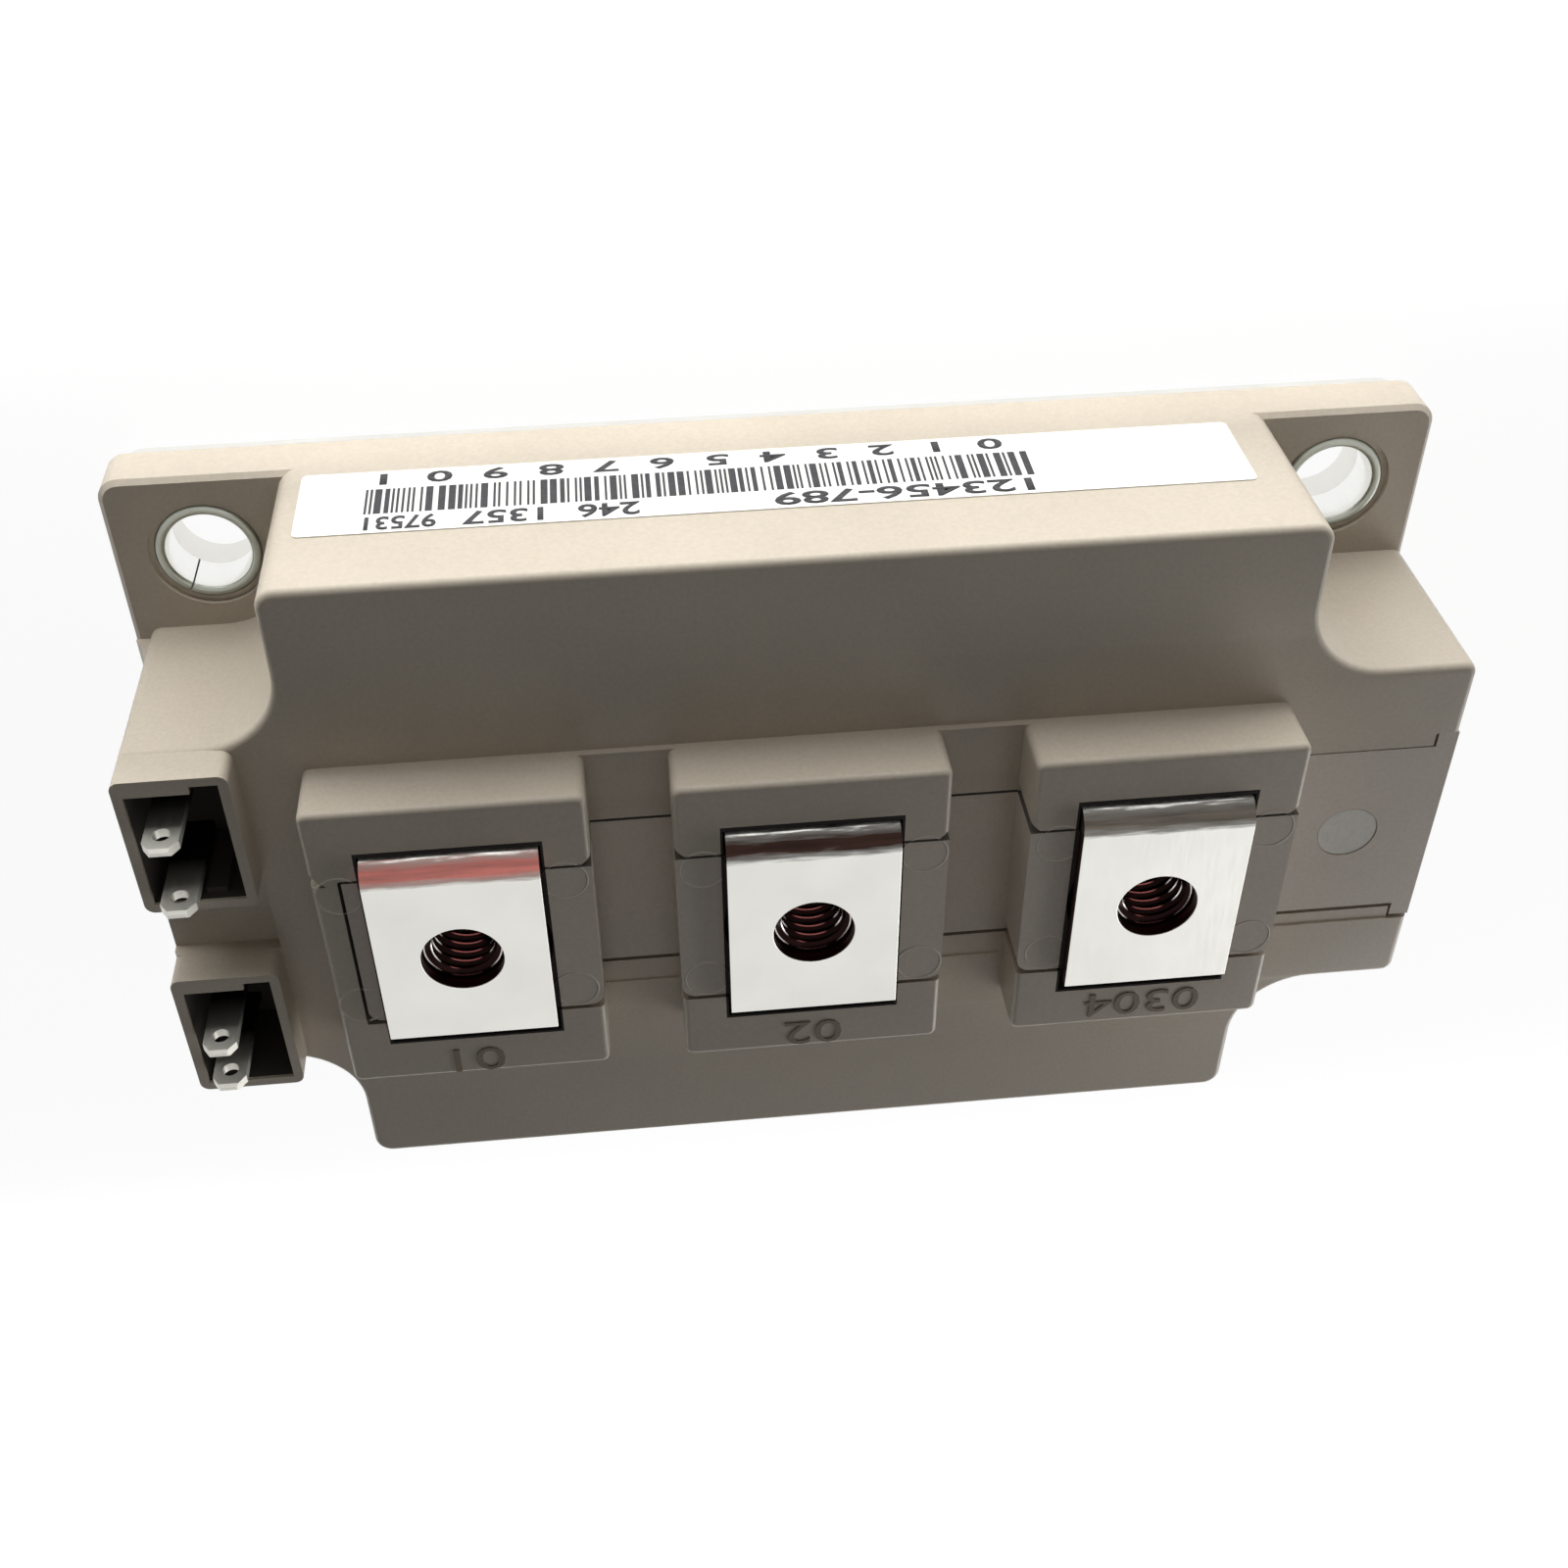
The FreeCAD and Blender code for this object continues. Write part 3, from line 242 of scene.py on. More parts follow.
def painted_shade_in_hollows(material):
    """Paint shade into the hollows of a moulding: darken them and take their gloss away."""
    tree, shader, colour = take_up(material)
    gloss = shader.inputs["Roughness"].links[0].from_socket
    place = add_node(tree, "ShaderNodeTexCoord").outputs["Object"]
    axes = add_node(tree, "ShaderNodeSeparateXYZ", links={0: place})
    for middle, reach, strength in SLOTS + SOCKETS + [LONG_SEAM, END_SEAM]:
        hollow_shade = add_node(tree, "ShaderNodeMath", operation="MULTIPLY", values={1: strength},
                         links={0: inside_box(tree, axes, middle, reach)})
        colour = add_node(tree, "ShaderNodeMix", data_type="RGBA", values={7: linear("#120D0B")},
                          links={0: hollow_shade.outputs[0], 6: colour}).outputs[2]
        gloss = add_node(tree, "ShaderNodeMath", operation="MAXIMUM",
                         links={0: gloss, 1: hollow_shade.outputs[0]}).outputs[0]
    feed(tree, shader, "Base Color", colour)
    feed(tree, shader, "Roughness", gloss)
    return material


def settle(bm, name, slot, *materials, unit=MM, sharp=None):
    """Make a finished bmesh, whose unit is given in metres, into a piece of the one body.
    With a sharp angle, in degrees, it is shaded smooth but for the edges that turn by more."""
    bmesh.ops.scale(bm, verts=bm.verts, vec=(unit, unit, unit))
    if sharp is not None:
        for face in bm.faces:
            face.smooth = True
        for edge in bm.edges:
            edge.smooth = len(edge.link_faces) == 2 and edge.calc_face_angle(0.0) < math.radians(sharp)
    mesh = bpy.data.meshes.new(name)
    bm.to_mesh(mesh)
    bm.free()
    for material in materials:
        mesh.materials.append(material)
    piece = bpy.data.objects.new(name, mesh)
    bpy.context.scene.collection.objects.link(piece)
    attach(piece, "root")
    return piece


def dress(node, material):
    """Give a CAD node its material, also where a piece stands for it."""
    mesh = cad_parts[node].data
    mesh.materials.clear()
    mesh.materials.append(material)


SMOOTH_UP_TO = 30
WORN_ABOVE = 50


def merged_copy(node, name, slot, material, soften=0.0):
    """Stand a piece with joined faces and smooth shading in for a CAD node.
    Softened edges are rounded by that many millimetres."""
    bm = bmesh.new()
    bm.from_mesh(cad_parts[node].data)
    bmesh.ops.remove_doubles(bm, verts=bm.verts, dist=0.0005 * MM)
    bmesh.ops.dissolve_limit(bm, angle_limit=math.radians(0.3), verts=bm.verts, edges=bm.edges,
                             delimit={"NORMAL"})
    piece = settle(bm, name, slot, material, unit=1.0, sharp=SMOOTH_UP_TO)
    if soften:
        rounding = piece.modifiers.new("worn_edges", "BEVEL")
        rounding.width = soften * MM
        rounding.segments = 2
        rounding.limit_method = "ANGLE"
        rounding.angle_limit = math.radians(WORN_ABOVE)
        rounding.harden_normals = True
    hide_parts(node)
    dress(node, material)


# Both mouldings carry painted shade in their slots, sockets and seams.
case_polyester = painted_shade_in_hollows(moulded_polyester("taupe_polyester_moulded_satin_grimy", "#C4BAAB", "#B0A697"))
bar_polyester = painted_shade_in_hollows(moulded_polyester("taupe_polyester_bar_moulded_satin_grimy", "#CBC1B5", "#BAB0A4"))
merged_copy("case", "case_moulding", "case_plastic", case_polyester)
merged_copy("nut_bar", "nut_bar_moulding", "case_plastic", bar_polyester)

# The pins that pushed the moulding out of its mould left fine rings beside the terminals.
RING_RADIUS = 1.85
RING_BEAD = 0.11
RING_XS = (37.0, 19.6, 8.7, -8.9, -19.8, -37.0)
RING_YS = (-6.5, 5.6)
ISLAND_TOP = 29.9
for number, (x, y) in enumerate(((x, y) for x in RING_XS for y in RING_YS), start=1):
    bm = bmesh.new()
    upright = Matrix.Translation((RING_RADIUS, 0, 0)) @ Matrix.Rotation(math.pi / 2, 4, "X")
    bmesh.ops.create_circle(bm, cap_ends=False, segments=6, radius=RING_BEAD, matrix=upright)
    bmesh.ops.spin(bm, geom=list(bm.verts) + list(bm.edges), cent=(0, 0, 0), axis=(0, 0, 1),
                   angle=2 * math.pi, steps=48, use_merge=True, use_duplicate=False)
    bmesh.ops.recalc_face_normals(bm, faces=bm.faces)
    bmesh.ops.translate(bm, verts=bm.verts, vec=(x, y, ISLAND_TOP - RING_BEAD / 2))
    settle(bm, f"ejector_ring_{number}", "case_plastic", bar_polyester, sharp=180)

# The mould's gate was cut away at the -X end of the bar, which left a pale round mark.
MARK_RADIUS = 2.5
MARK_PLACE = (-46.5, -0.13, 23.93)
MARK_THICKNESS = 0.07


def raised_from(bm, lift):
    """Raise a flat sheet into a thin solid along Z."""
    made = bmesh.ops.extrude_face_region(bm, geom=list(bm.faces), use_keep_orig=True)["geom"]
    bmesh.ops.translate(bm, verts=[item for item in made if isinstance(item, bmesh.types.BMVert)],
                        vec=(0, 0, lift))
    bmesh.ops.recalc_face_normals(bm, faces=bm.faces)


mark_polyester = moulded_polyester("taupe_polyester_gate_mark_smooth", "#D6D3CB", "#CBC8BF")
bm = bmesh.new()
bmesh.ops.create_circle(bm, cap_ends=True, segments=48, radius=MARK_RADIUS)
raised_from(bm, MARK_THICKNESS)
bmesh.ops.translate(bm, verts=bm.verts, vec=MARK_PLACE)
settle(bm, "bar_gate_mark", "case_plastic", mark_polyester)


# Raised numerals on the islands
# Each terminal has a plain moulded numeral beside it, a little proud of the island's top.
# They were eroded into the mould more coarsely, so they are duller than the case, and their colour is darker.


def raised_text(words, name, height, width, place, across, up, rise, material, slot, sink=0.0, bolder=0.0):
    """Lay flat text on a face as a thin raised piece; sizes in millimetres."""
    curve = bpy.data.curves.new(name, "FONT")
    curve.body = words
    curve.align_x, curve.align_y = "CENTER", "CENTER"
    curve.size = 1.0
    curve.resolution_u = 3
    curve.offset = bolder
    holder = bpy.data.objects.new(name, curve)
    bpy.context.scene.collection.objects.link(holder)
    bpy.context.view_layer.update()
    outline = bpy.data.meshes.new_from_object(holder.evaluated_get(bpy.context.evaluated_depsgraph_get()))
    bpy.data.objects.remove(holder)
    bm = bmesh.new()
    bm.from_mesh(outline)
    bpy.data.meshes.remove(outline)
    bmesh.ops.remove_doubles(bm, verts=bm.verts, dist=0.0001)
    low = Vector((min(v.co.x for v in bm.verts), min(v.co.y for v in bm.verts), 0))
    high = Vector((max(v.co.x for v in bm.verts), max(v.co.y for v in bm.verts), 0))
    bmesh.ops.translate(bm, verts=bm.verts, vec=-(low + high) / 2)
    bmesh.ops.scale(bm, verts=bm.verts, vec=(width / (high.x - low.x), height / (high.y - low.y), 1))
    raised_from(bm, rise + sink)
    along, upward = Vector(across), Vector(up)
    out = along.cross(upward)
    stand = Matrix((along, upward, out)).transposed().to_4x4()
    bm.transform(Matrix.Translation(Vector(place) - out * sink) @ stand)
    settle(bm, name, slot, material)


NUMERAL_HEIGHT = 2.7
NUMERAL_RISE = 0.12
NUMERAL_SINK = 0.01
NUMERALS = (("01", 28.3, 13.1, 4.3), ("02", -0.1, 13.0, 4.9), ("0304", -28.7, 12.5, 10.0))
eroded_polyester = moulded_polyester("taupe_polyester_eroded_matt", "#8F8575", "#7C7263",
                                     smooth=0.6, rough=0.75)
for number, (words, x, y, width) in enumerate(NUMERALS, start=1):
    raised_text(words, f"terminal_numeral_{number}", NUMERAL_HEIGHT, width, (x, y, ISLAND_TOP),
                (1, 0, 0), (0, 1, 0), NUMERAL_RISE, eroded_polyester, "case_plastic", sink=NUMERAL_SINK)


# Nickel-plated base plate
# A copper plate with a matt nickel skin carries the tiles and bolts to the heat sink.
# It is rolled, so fine lines run along its length.


def plated_metal(name, colour, tint, roughness, stretch, grain_mm, bump):
    """Plated or bare metal with fine lines: stretch gives their direction, grain their width.
    The lines are drawn coarser than the real ones, which are under 0.1 mm, so that they show."""
    material, tree, shader = start_material(name, Metallic=1.0)
    place = add_node(tree, "ShaderNodeTexCoord").outputs["Object"]
    drawn = add_node(tree, "ShaderNodeMapping", values={"Scale": stretch}, links={"Vector": place})
    lines = add_node(tree, "ShaderNodeTexNoise", values={"Scale": per_mm(grain_mm), "Detail": 3.0},
                     links={"Vector": drawn.outputs[0]})
    clouds = add_node(tree, "ShaderNodeTexNoise", values={"Scale": per_mm(6.0), "Detail": 2.0},
                      links={"Vector": place})
    tone = add_node(tree, "ShaderNodeMix", data_type="RGBA",
                    values={6: linear(colour), 7: linear(tint)}, links={0: clouds.outputs["Fac"]})
    feed(tree, shader, "Base Color", tone.outputs[2])
    gloss = add_node(tree, "ShaderNodeMapRange", links={0: lines.outputs["Fac"]},
                     values={1: 0.25, 2: 0.75, 3: roughness - 0.06, 4: roughness + 0.08})
    feed(tree, shader, "Roughness", gloss.outputs[0])
    relief = add_node(tree, "ShaderNodeBump", values={"Strength": bump, "Distance": 0.01 * MM},
                      links={"Height": lines.outputs["Fac"]})
    feed(tree, shader, "Normal", relief.outputs[0])
    return material


plate_nickel = plated_metal("nickel_plated_copper_rolled_matt", "#F4F3EF", "#E8E7E1", 0.36,
                            stretch=(0.08, 1, 1), grain_mm=0.35, bump=0.2)
merged_copy("base_plate", "base_plate_skin", "base_plate_metal", plate_nickel)


# Screw collars
# Each ear has a rolled steel sleeve with one slit, plated bright, whose rim is rolled over a little.
# It takes the load of the mounting screw, so that the plastic isn't crushed.

COLLAR_OUTER = 4.3
COLLAR_BORE = 3.4
COLLAR_LIP = 0.35
LIP_SEGMENTS = 4
SLIT_WIDTH = 0.14
SLIT_DEGREES = (58, 150, 15, 310)
collar_steel = plated_metal("zinc_plated_steel_rolled_bright", "#FDFDFB", "#F4F4F1", 0.18,
                            stretch=(1, 1, 0.1), grain_mm=0.2, bump=0.1)
rim_steel = plated_metal("zinc_plated_steel_rolled_dull_rim", "#A9ABA2", "#83857C", 0.36,
                         stretch=(1, 1, 1), grain_mm=0.3, bump=0.3)
slit_angle = 2 * math.asin(SLIT_WIDTH / 2 / COLLAR_BORE)
for number, slit_degrees in enumerate(SLIT_DEGREES, start=1):
    low, high = (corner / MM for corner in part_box(f"screw_collar_{number}"))
    middle = (low + high) / 2
    bm = bmesh.new()
    corners = ((COLLAR_BORE, low.z), (COLLAR_OUTER, low.z), (COLLAR_OUTER, high.z), (COLLAR_BORE, high.z))
    bm.faces.new([bm.verts.new((radius, 0, z)) for radius, z in corners])
    rim_corners = [v for v in bm.verts if v.co.z > high.z - 0.01]
    bmesh.ops.bevel(bm, geom=rim_corners, offset=COLLAR_LIP, offset_type="OFFSET", segments=LIP_SEGMENTS,
                    profile=0.5, affect="VERTICES", material=-1)
    bmesh.ops.rotate(bm, verts=bm.verts, cent=(0, 0, 0), matrix=Matrix.Rotation(slit_angle / 2, 3, "Z"))
    bmesh.ops.spin(bm, geom=list(bm.faces), cent=(0, 0, 0), axis=(0, 0, 1), angle=2 * math.pi - slit_angle,
                   steps=72, use_duplicate=False)
    bmesh.ops.remove_doubles(bm, verts=bm.verts, dist=0.0005)
    bmesh.ops.recalc_face_normals(bm, faces=bm.faces)
    bmesh.ops.rotate(bm, verts=bm.verts, cent=(0, 0, 0),
                     matrix=Matrix.Rotation(math.radians(slit_degrees), 3, "Z"))
    bmesh.ops.translate(bm, verts=bm.verts, vec=(middle.x, middle.y, 0))
    for face in bm.faces:
        face.material_index = int(face.calc_center_median().z > high.z - COLLAR_LIP * 0.8)
    sleeve = settle(bm, f"collar_sleeve_{number}", "collar_steel", collar_steel, rim_steel, sharp=40)
    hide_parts(f"screw_collar_{number}")
    dress(f"screw_collar_{number}", collar_steel)


# Main terminals
# Bent copper straps with bright nickel plating, each with a screw hole over its nut.
# Where a strap turns down, a band of painted reflection darkens it: red on one strap, brown and grey on the
# others.

BEND_FRONT = -9.9
BEND_BACK = -7.5
STRAP_TOP = 31.2
SHEARED_BELOW = STRAP_TOP - 0.12
SHEARED_BEHIND = -8.2
RAGGED_BY = 0.8


def strap_plating(name, middle_band, dark_band):
    """Bright plating, with a band of painted reflection over the bend, dark and streaked across the strap.
    The sheared edges are bare copper, painted near black as shade."""
    material = plated_metal(name, "#E4E3DE", "#D3D2CC", 0.36, stretch=(1, 0.1, 1), grain_mm=0.3, bump=0.12)
    tree, shader, plating = take_up(material)
    place = add_node(tree, "ShaderNodeTexCoord").outputs["Object"]
    axes = add_node(tree, "ShaderNodeSeparateXYZ", links={0: place})
    # Painted reflection: a ragged band over the bend, dark and streaked, stands in for the dark surroundings
    # that the bend mirrors.
    across = add_node(tree, "ShaderNodeMapping", values={"Scale": (0.3, 3, 3)}, links={"Vector": place})
    streaks = add_node(tree, "ShaderNodeTexNoise", values={"Scale": per_mm(0.8), "Detail": 3.0},
                       links={"Vector": across.outputs[0]})
    ragged = add_node(tree, "ShaderNodeMath", operation="MULTIPLY_ADD", values={1: RAGGED_BY * MM},
                      links={0: streaks.outputs["Fac"], 2: axes.outputs["Y"]})
    over_bend = add_node(tree, "ShaderNodeMapRange", values={1: BEND_FRONT * MM, 2: BEND_BACK * MM},
                         links={0: ragged.outputs[0]})
    band = add_node(tree, "ShaderNodeValToRGB", links={0: over_bend.outputs[0]})
    stops = band.color_ramp.elements
    stops[0].position, stops[0].color = 0.0, linear(dark_band)[:3] + [0.0]
    stops[1].position, stops[1].color = 1.0, linear(dark_band)[:3] + [0.0]
    for position, colour, strength in ((0.10, dark_band, 0.0), (0.20, dark_band, 0.85),
                                       (0.38, middle_band, 1.0), (0.64, middle_band, 1.0),
                                       (0.84, dark_band, 0.75)):
        stop = stops.new(position)
        stop.color = linear(colour)[:3] + [strength]
    drawn_out = add_node(tree, "ShaderNodeMapping", values={"Scale": (0.12, 2.2, 2.2)},
                         links={"Vector": place})
    reflection_patches = add_node(tree, "ShaderNodeTexNoise", values={"Scale": per_mm(0.9), "Detail": 4.0},
                       links={"Vector": drawn_out.outputs[0]})
    depth = add_node(tree, "ShaderNodeMapRange", values={1: 0.4, 2: 0.68, 3: 0.0, 4: 0.6},
                     links={0: reflection_patches.outputs["Fac"]})
    streaked = add_node(tree, "ShaderNodeMix", data_type="RGBA", values={7: linear(dark_band)},
                        links={0: depth.outputs[0], 6: band.outputs["Color"]})
    bent = add_node(tree, "ShaderNodeMix", data_type="RGBA",
                    links={0: band.outputs["Alpha"], 6: plating, 7: streaked.outputs[2]})
    # Painted shade: the sheared edges, under the top face and behind the bend, are bare copper painted near
    # black.
    under = add_node(tree, "ShaderNodeMath", operation="LESS_THAN", values={1: SHEARED_BELOW * MM},
                     links={0: axes.outputs["Z"]})
    behind = add_node(tree, "ShaderNodeMath", operation="GREATER_THAN", values={1: SHEARED_BEHIND * MM},
                      links={0: axes.outputs["Y"]})
    sheared = add_node(tree, "ShaderNodeMath", operation="MULTIPLY",
                       links={0: under.outputs[0], 1: behind.outputs[0]})
    edged = add_node(tree, "ShaderNodeMix", data_type="RGBA", values={7: linear("#3B1714")},
                     links={0: sheared.outputs[0], 6: bent.outputs[2]})
    feed(tree, shader, "Base Color", edged.outputs[2])
    return material


# Each strap's band of painted reflection: its middle colour and its darker edges.
for node, name, middle_band, dark_band in (
        ("collector_terminal", "nickel_plated_copper_punched_red_painted_reflection", "#A6645D", "#6E504A"),
        ("emitter_terminal", "nickel_plated_copper_punched_brown_painted_reflection", "#33241F", "#201816"),
        ("output_terminal", "nickel_plated_copper_punched_grey_painted_reflection", "#5C564F", "#37322E")):
    merged_copy(node, f"{node}_strap", "terminal_metal", strap_plating(name, middle_band, dark_band),
                soften=0.07)


# Terminal nuts
# Hexagon steel nuts with a coarse machine thread that shows through the strap's hole, painted black as shade,
# with a red painted reflection and bright painted glints.
# The thread is a real helix, cut off flat at both faces, with a shallow countersink at the top.

NUT_FLATS = 10.0
NUT_TOWARDS_LABEL = 0.13
GLINT_REACH = 3.2
THREAD_PITCH = 1.0
THREAD_ROOT = 3.0
THREAD_CREST = 2.5
TURN_STEPS = 36
MOUTH_DEPTH = 0.16
MOUTH_RADIUS = THREAD_ROOT + 0.15


def tapped_steel(name, crest, root, glint, edge_from, edge_to):
    """Steel painted black as the shade in the bore, but for one thin line between two radii, in millimetres
    from the nut's axis.
    The line is a dull red painted reflection in the middle of the nut and turns to a bright painted glint at
    its two sides."""
    material = plated_metal(name, root, root, 0.18, stretch=(1, 1, 1), grain_mm=0.4, bump=0.3)
    tree, shader, _ = take_up(material)
    place = add_node(tree, "ShaderNodeTexCoord").outputs["Object"]
    axes = add_node(tree, "ShaderNodeSeparateXYZ", links={0: place})
    sideways = add_node(tree, "ShaderNodeMath", operation="WRAP", links={0: axes.outputs["X"]},
                        values={1: -TERMINAL_PITCH / 2 * MM, 2: TERMINAL_PITCH / 2 * MM})
    lengthways = add_node(tree, "ShaderNodeMath", operation="ADD", values={1: NUT_TOWARDS_LABEL * MM},
                          links={0: axes.outputs["Y"]})
    squares = [add_node(tree, "ShaderNodeMath", operation="POWER", values={1: 2.0}, links={0: part.outputs[0]})
               for part in (sideways, lengthways)]
    total = add_node(tree, "ShaderNodeMath", operation="ADD",
                     links={0: squares[0].outputs[0], 1: squares[1].outputs[0]})
    radius = add_node(tree, "ShaderNodeMath", operation="SQRT", links={0: total.outputs[0]})
    on_line = add_node(tree, "ShaderNodeMapRange", values={1: edge_from * MM, 2: edge_to * MM},
                       links={0: radius.outputs[0]})
    off_middle = add_node(tree, "ShaderNodeMath", operation="ABSOLUTE", links={0: sideways.outputs[0]})
    share = add_node(tree, "ShaderNodeMath", operation="DIVIDE", values={1: GLINT_REACH * MM},
                     links={0: off_middle.outputs[0]})
    line = add_node(tree, "ShaderNodeValToRGB", links={0: share.outputs[0]})
    stops = line.color_ramp.elements
    stops[0].position, stops[0].color = 0.0, linear(crest)
    stops[1].position, stops[1].color = 1.0, linear(glint)
    for position, colour in ((0.30, crest), (0.42, root), (0.60, root), (0.72, glint)):
        stop = stops.new(position)
        stop.color = linear(colour)
    tone = add_node(tree, "ShaderNodeMix", data_type="RGBA", values={6: linear(root)},
                    links={0: on_line.outputs[0], 7: line.outputs["Color"]})
    feed(tree, shader, "Base Color", tone.outputs[2])
    return material


def cut_level(bm, z, outward):
    """Cut a bmesh off flat at a level and drop what lies beyond it."""
    bmesh.ops.bisect_plane(bm, geom=list(bm.verts) + list(bm.edges) + list(bm.faces), dist=0.0001,
                           plane_co=(0, 0, z), plane_no=(0, 0, outward), clear_outer=True)


def open_edges(bm, z):
    """The edges at a level that have only one face."""
    return [edge for edge in bm.edges if edge.is_boundary and all(abs(v.co.z - z) < 0.001 for v in edge.verts)]


# Painted light: the black is painted shade, the red line a painted reflection and its bright ends painted
# glints.
nut_steel = tapped_steel("steel_tapped_painted_shade_and_glints", crest="#8A4E4B", root="#140B0A", glint="#E9E4DF",
                         edge_from=2.6, edge_to=2.53)
mouth_steel = tapped_steel("steel_countersunk_painted_shade_and_glints", crest="#8A6663", root="#1C100F", glint="#CFC8C2",
                           edge_from=3.02, edge_to=3.08)
for number in (1, 2, 3):
    low, high = (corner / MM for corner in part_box(f"terminal_nut_{number}"))
    middle = (low + high) / 2
    mouth_z = high.z - MOUTH_DEPTH
    turns = math.ceil((high.z - low.z) / THREAD_PITCH) + 2
    start_z = low.z - THREAD_PITCH
    bm = bmesh.new()
    flank = [bm.verts.new((radius, 0, start_z + share * THREAD_PITCH))
             for radius, share in ((THREAD_ROOT, 0.0), (THREAD_ROOT, 0.12), (THREAD_CREST, 0.5),
                                   (THREAD_CREST, 0.62), (THREAD_ROOT, 1.0))]
    flank_edges = [bm.edges.new(pair) for pair in zip(flank, flank[1:])]
    bmesh.ops.spin(bm, geom=flank + flank_edges, cent=(0, 0, 0), axis=(0, 0, 1),
                   dvec=(0, 0, THREAD_PITCH / TURN_STEPS), angle=turns * 2 * math.pi,
                   steps=turns * TURN_STEPS, use_duplicate=False)
    bmesh.ops.remove_doubles(bm, verts=bm.verts, dist=0.001)
    cut_level(bm, mouth_z, 1)
    cut_level(bm, low.z, -1)
    bmesh.ops.remove_doubles(bm, verts=bm.verts, dist=0.001)
    widened = bmesh.ops.extrude_edge_only(bm, edges=open_edges(bm, mouth_z))
    for vert in (item for item in widened["geom"] if isinstance(item, bmesh.types.BMVert)):
        reach = Vector((vert.co.x, vert.co.y, 0)).normalized() * MOUTH_RADIUS
        vert.co = Vector((reach.x, reach.y, high.z))
    hexagon = bmesh.ops.create_circle(bm, cap_ends=False, segments=6, radius=NUT_FLATS / math.sqrt(3),
                                      matrix=Matrix.Translation((0, 0, low.z)))["verts"]
    if max(v.co.x for v in hexagon) - (high.x - low.x) / 2 > 0.01:
        bmesh.ops.rotate(bm, verts=hexagon, cent=(0, 0, 0), matrix=Matrix.Rotation(math.pi / 6, 3, "Z"))
    base_edges = [edge for edge in bm.edges if edge.verts[0] in hexagon and edge.verts[1] in hexagon]
    sides = bmesh.ops.extrude_edge_only(bm, edges=base_edges)
    upper = [item for item in sides["geom"] if isinstance(item, bmesh.types.BMVert)]
    bmesh.ops.translate(bm, verts=upper, vec=(0, 0, high.z - low.z))
    for level, outward in ((high.z, 1), (low.z, -1)):
        bmesh.ops.triangle_fill(bm, use_beauty=True, use_dissolve=False, edges=open_edges(bm, level),
                                normal=(0, 0, outward))
    bmesh.ops.recalc_face_normals(bm, faces=bm.faces)
    bmesh.ops.translate(bm, verts=bm.verts, vec=(middle.x, middle.y, 0))
    for face in bm.faces:
        face.material_index = int(mouth_z < face.calc_center_median().z < high.z - 0.01)
    nut = settle(bm, f"tapped_nut_{number}", "nut_steel", nut_steel, mouth_steel, sharp=25)
    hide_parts(f"terminal_nut_{number}")
    dress(f"terminal_nut_{number}", nut_steel)


# Control tabs
# Thin brass blades with a dull tin coat, punched with a small hole and pointed at the tip.
# They stand in the two keyed sockets at the +X end, and are painted dark further down, as painted shade inside
# the sockets.

TAB_BRIGHT_FROM = 27.2
TAB_DARK_BELOW = 23.5
TIN_METALLIC = 0.6
tab_tin = plated_metal("tin_plated_brass_punched_satin", "#E6E5DD", "#D8D6CC", 0.42,
                       stretch=(1, 1, 0.1), grain_mm=0.25, bump=0.1)
tree, shader, bright_tin = take_up(tab_tin)
shader.inputs["Metallic"].default_value = TIN_METALLIC
place = add_node(tree, "ShaderNodeTexCoord").outputs["Object"]
axes = add_node(tree, "ShaderNodeSeparateXYZ", links={0: place})
# Painted shade: from the socket's rim downwards the tin turns near black.
down = add_node(tree, "ShaderNodeMapRange", values={1: TAB_BRIGHT_FROM * MM, 2: TAB_DARK_BELOW * MM},
                links={0: axes.outputs["Z"]})
dusty = add_node(tree, "ShaderNodeMix", data_type="RGBA", values={7: linear("#1A1712")},
                 links={0: down.outputs[0], 6: bright_tin})
feed(tree, shader, "Base Color", dusty.outputs[2])
for node in ("gate_tab_1", "sense_tab_1", "gate_tab_2", "sense_tab_2"):
    merged_copy(node, f"{node}_blade", "tab_metal", tab_tin, soften=0.05)


# Label
# A strip of coated white paper glued to the -Y wall, printed in black with bars and plain digits.
# The paper is a little thinner than its CAD sheet, so that the ink stays inside that sheet.

PAPER_THICKNESS = 0.08
PAPER_CORNER = 0.5
INK_THICKNESS = 0.03
label_low, label_high = (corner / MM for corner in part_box("label"))
label_middle = (label_low + label_high) / 2

# The fibres are far finer than 0.5 mm; they are drawn at that size so that they show.
paper, tree, shader = start_material("coated_paper_label_satin", Roughness=0.45)
place = add_node(tree, "ShaderNodeTexCoord").outputs["Object"]
fibre = add_node(tree, "ShaderNodeTexNoise", values={"Scale": per_mm(0.5), "Detail": 3.0},
                 links={"Vector": place})
tone = add_node(tree, "ShaderNodeMix", data_type="RGBA",
                values={6: linear("#EEEEEB"), 7: linear("#E5E5E1")}, links={0: fibre.outputs["Fac"]})
feed(tree, shader, "Base Color", tone.outputs[2])
relief = add_node(tree, "ShaderNodeBump", values={"Strength": 0.1, "Distance": 0.01 * MM},
                  links={"Height": fibre.outputs["Fac"]})
feed(tree, shader, "Normal", relief.outputs[0])

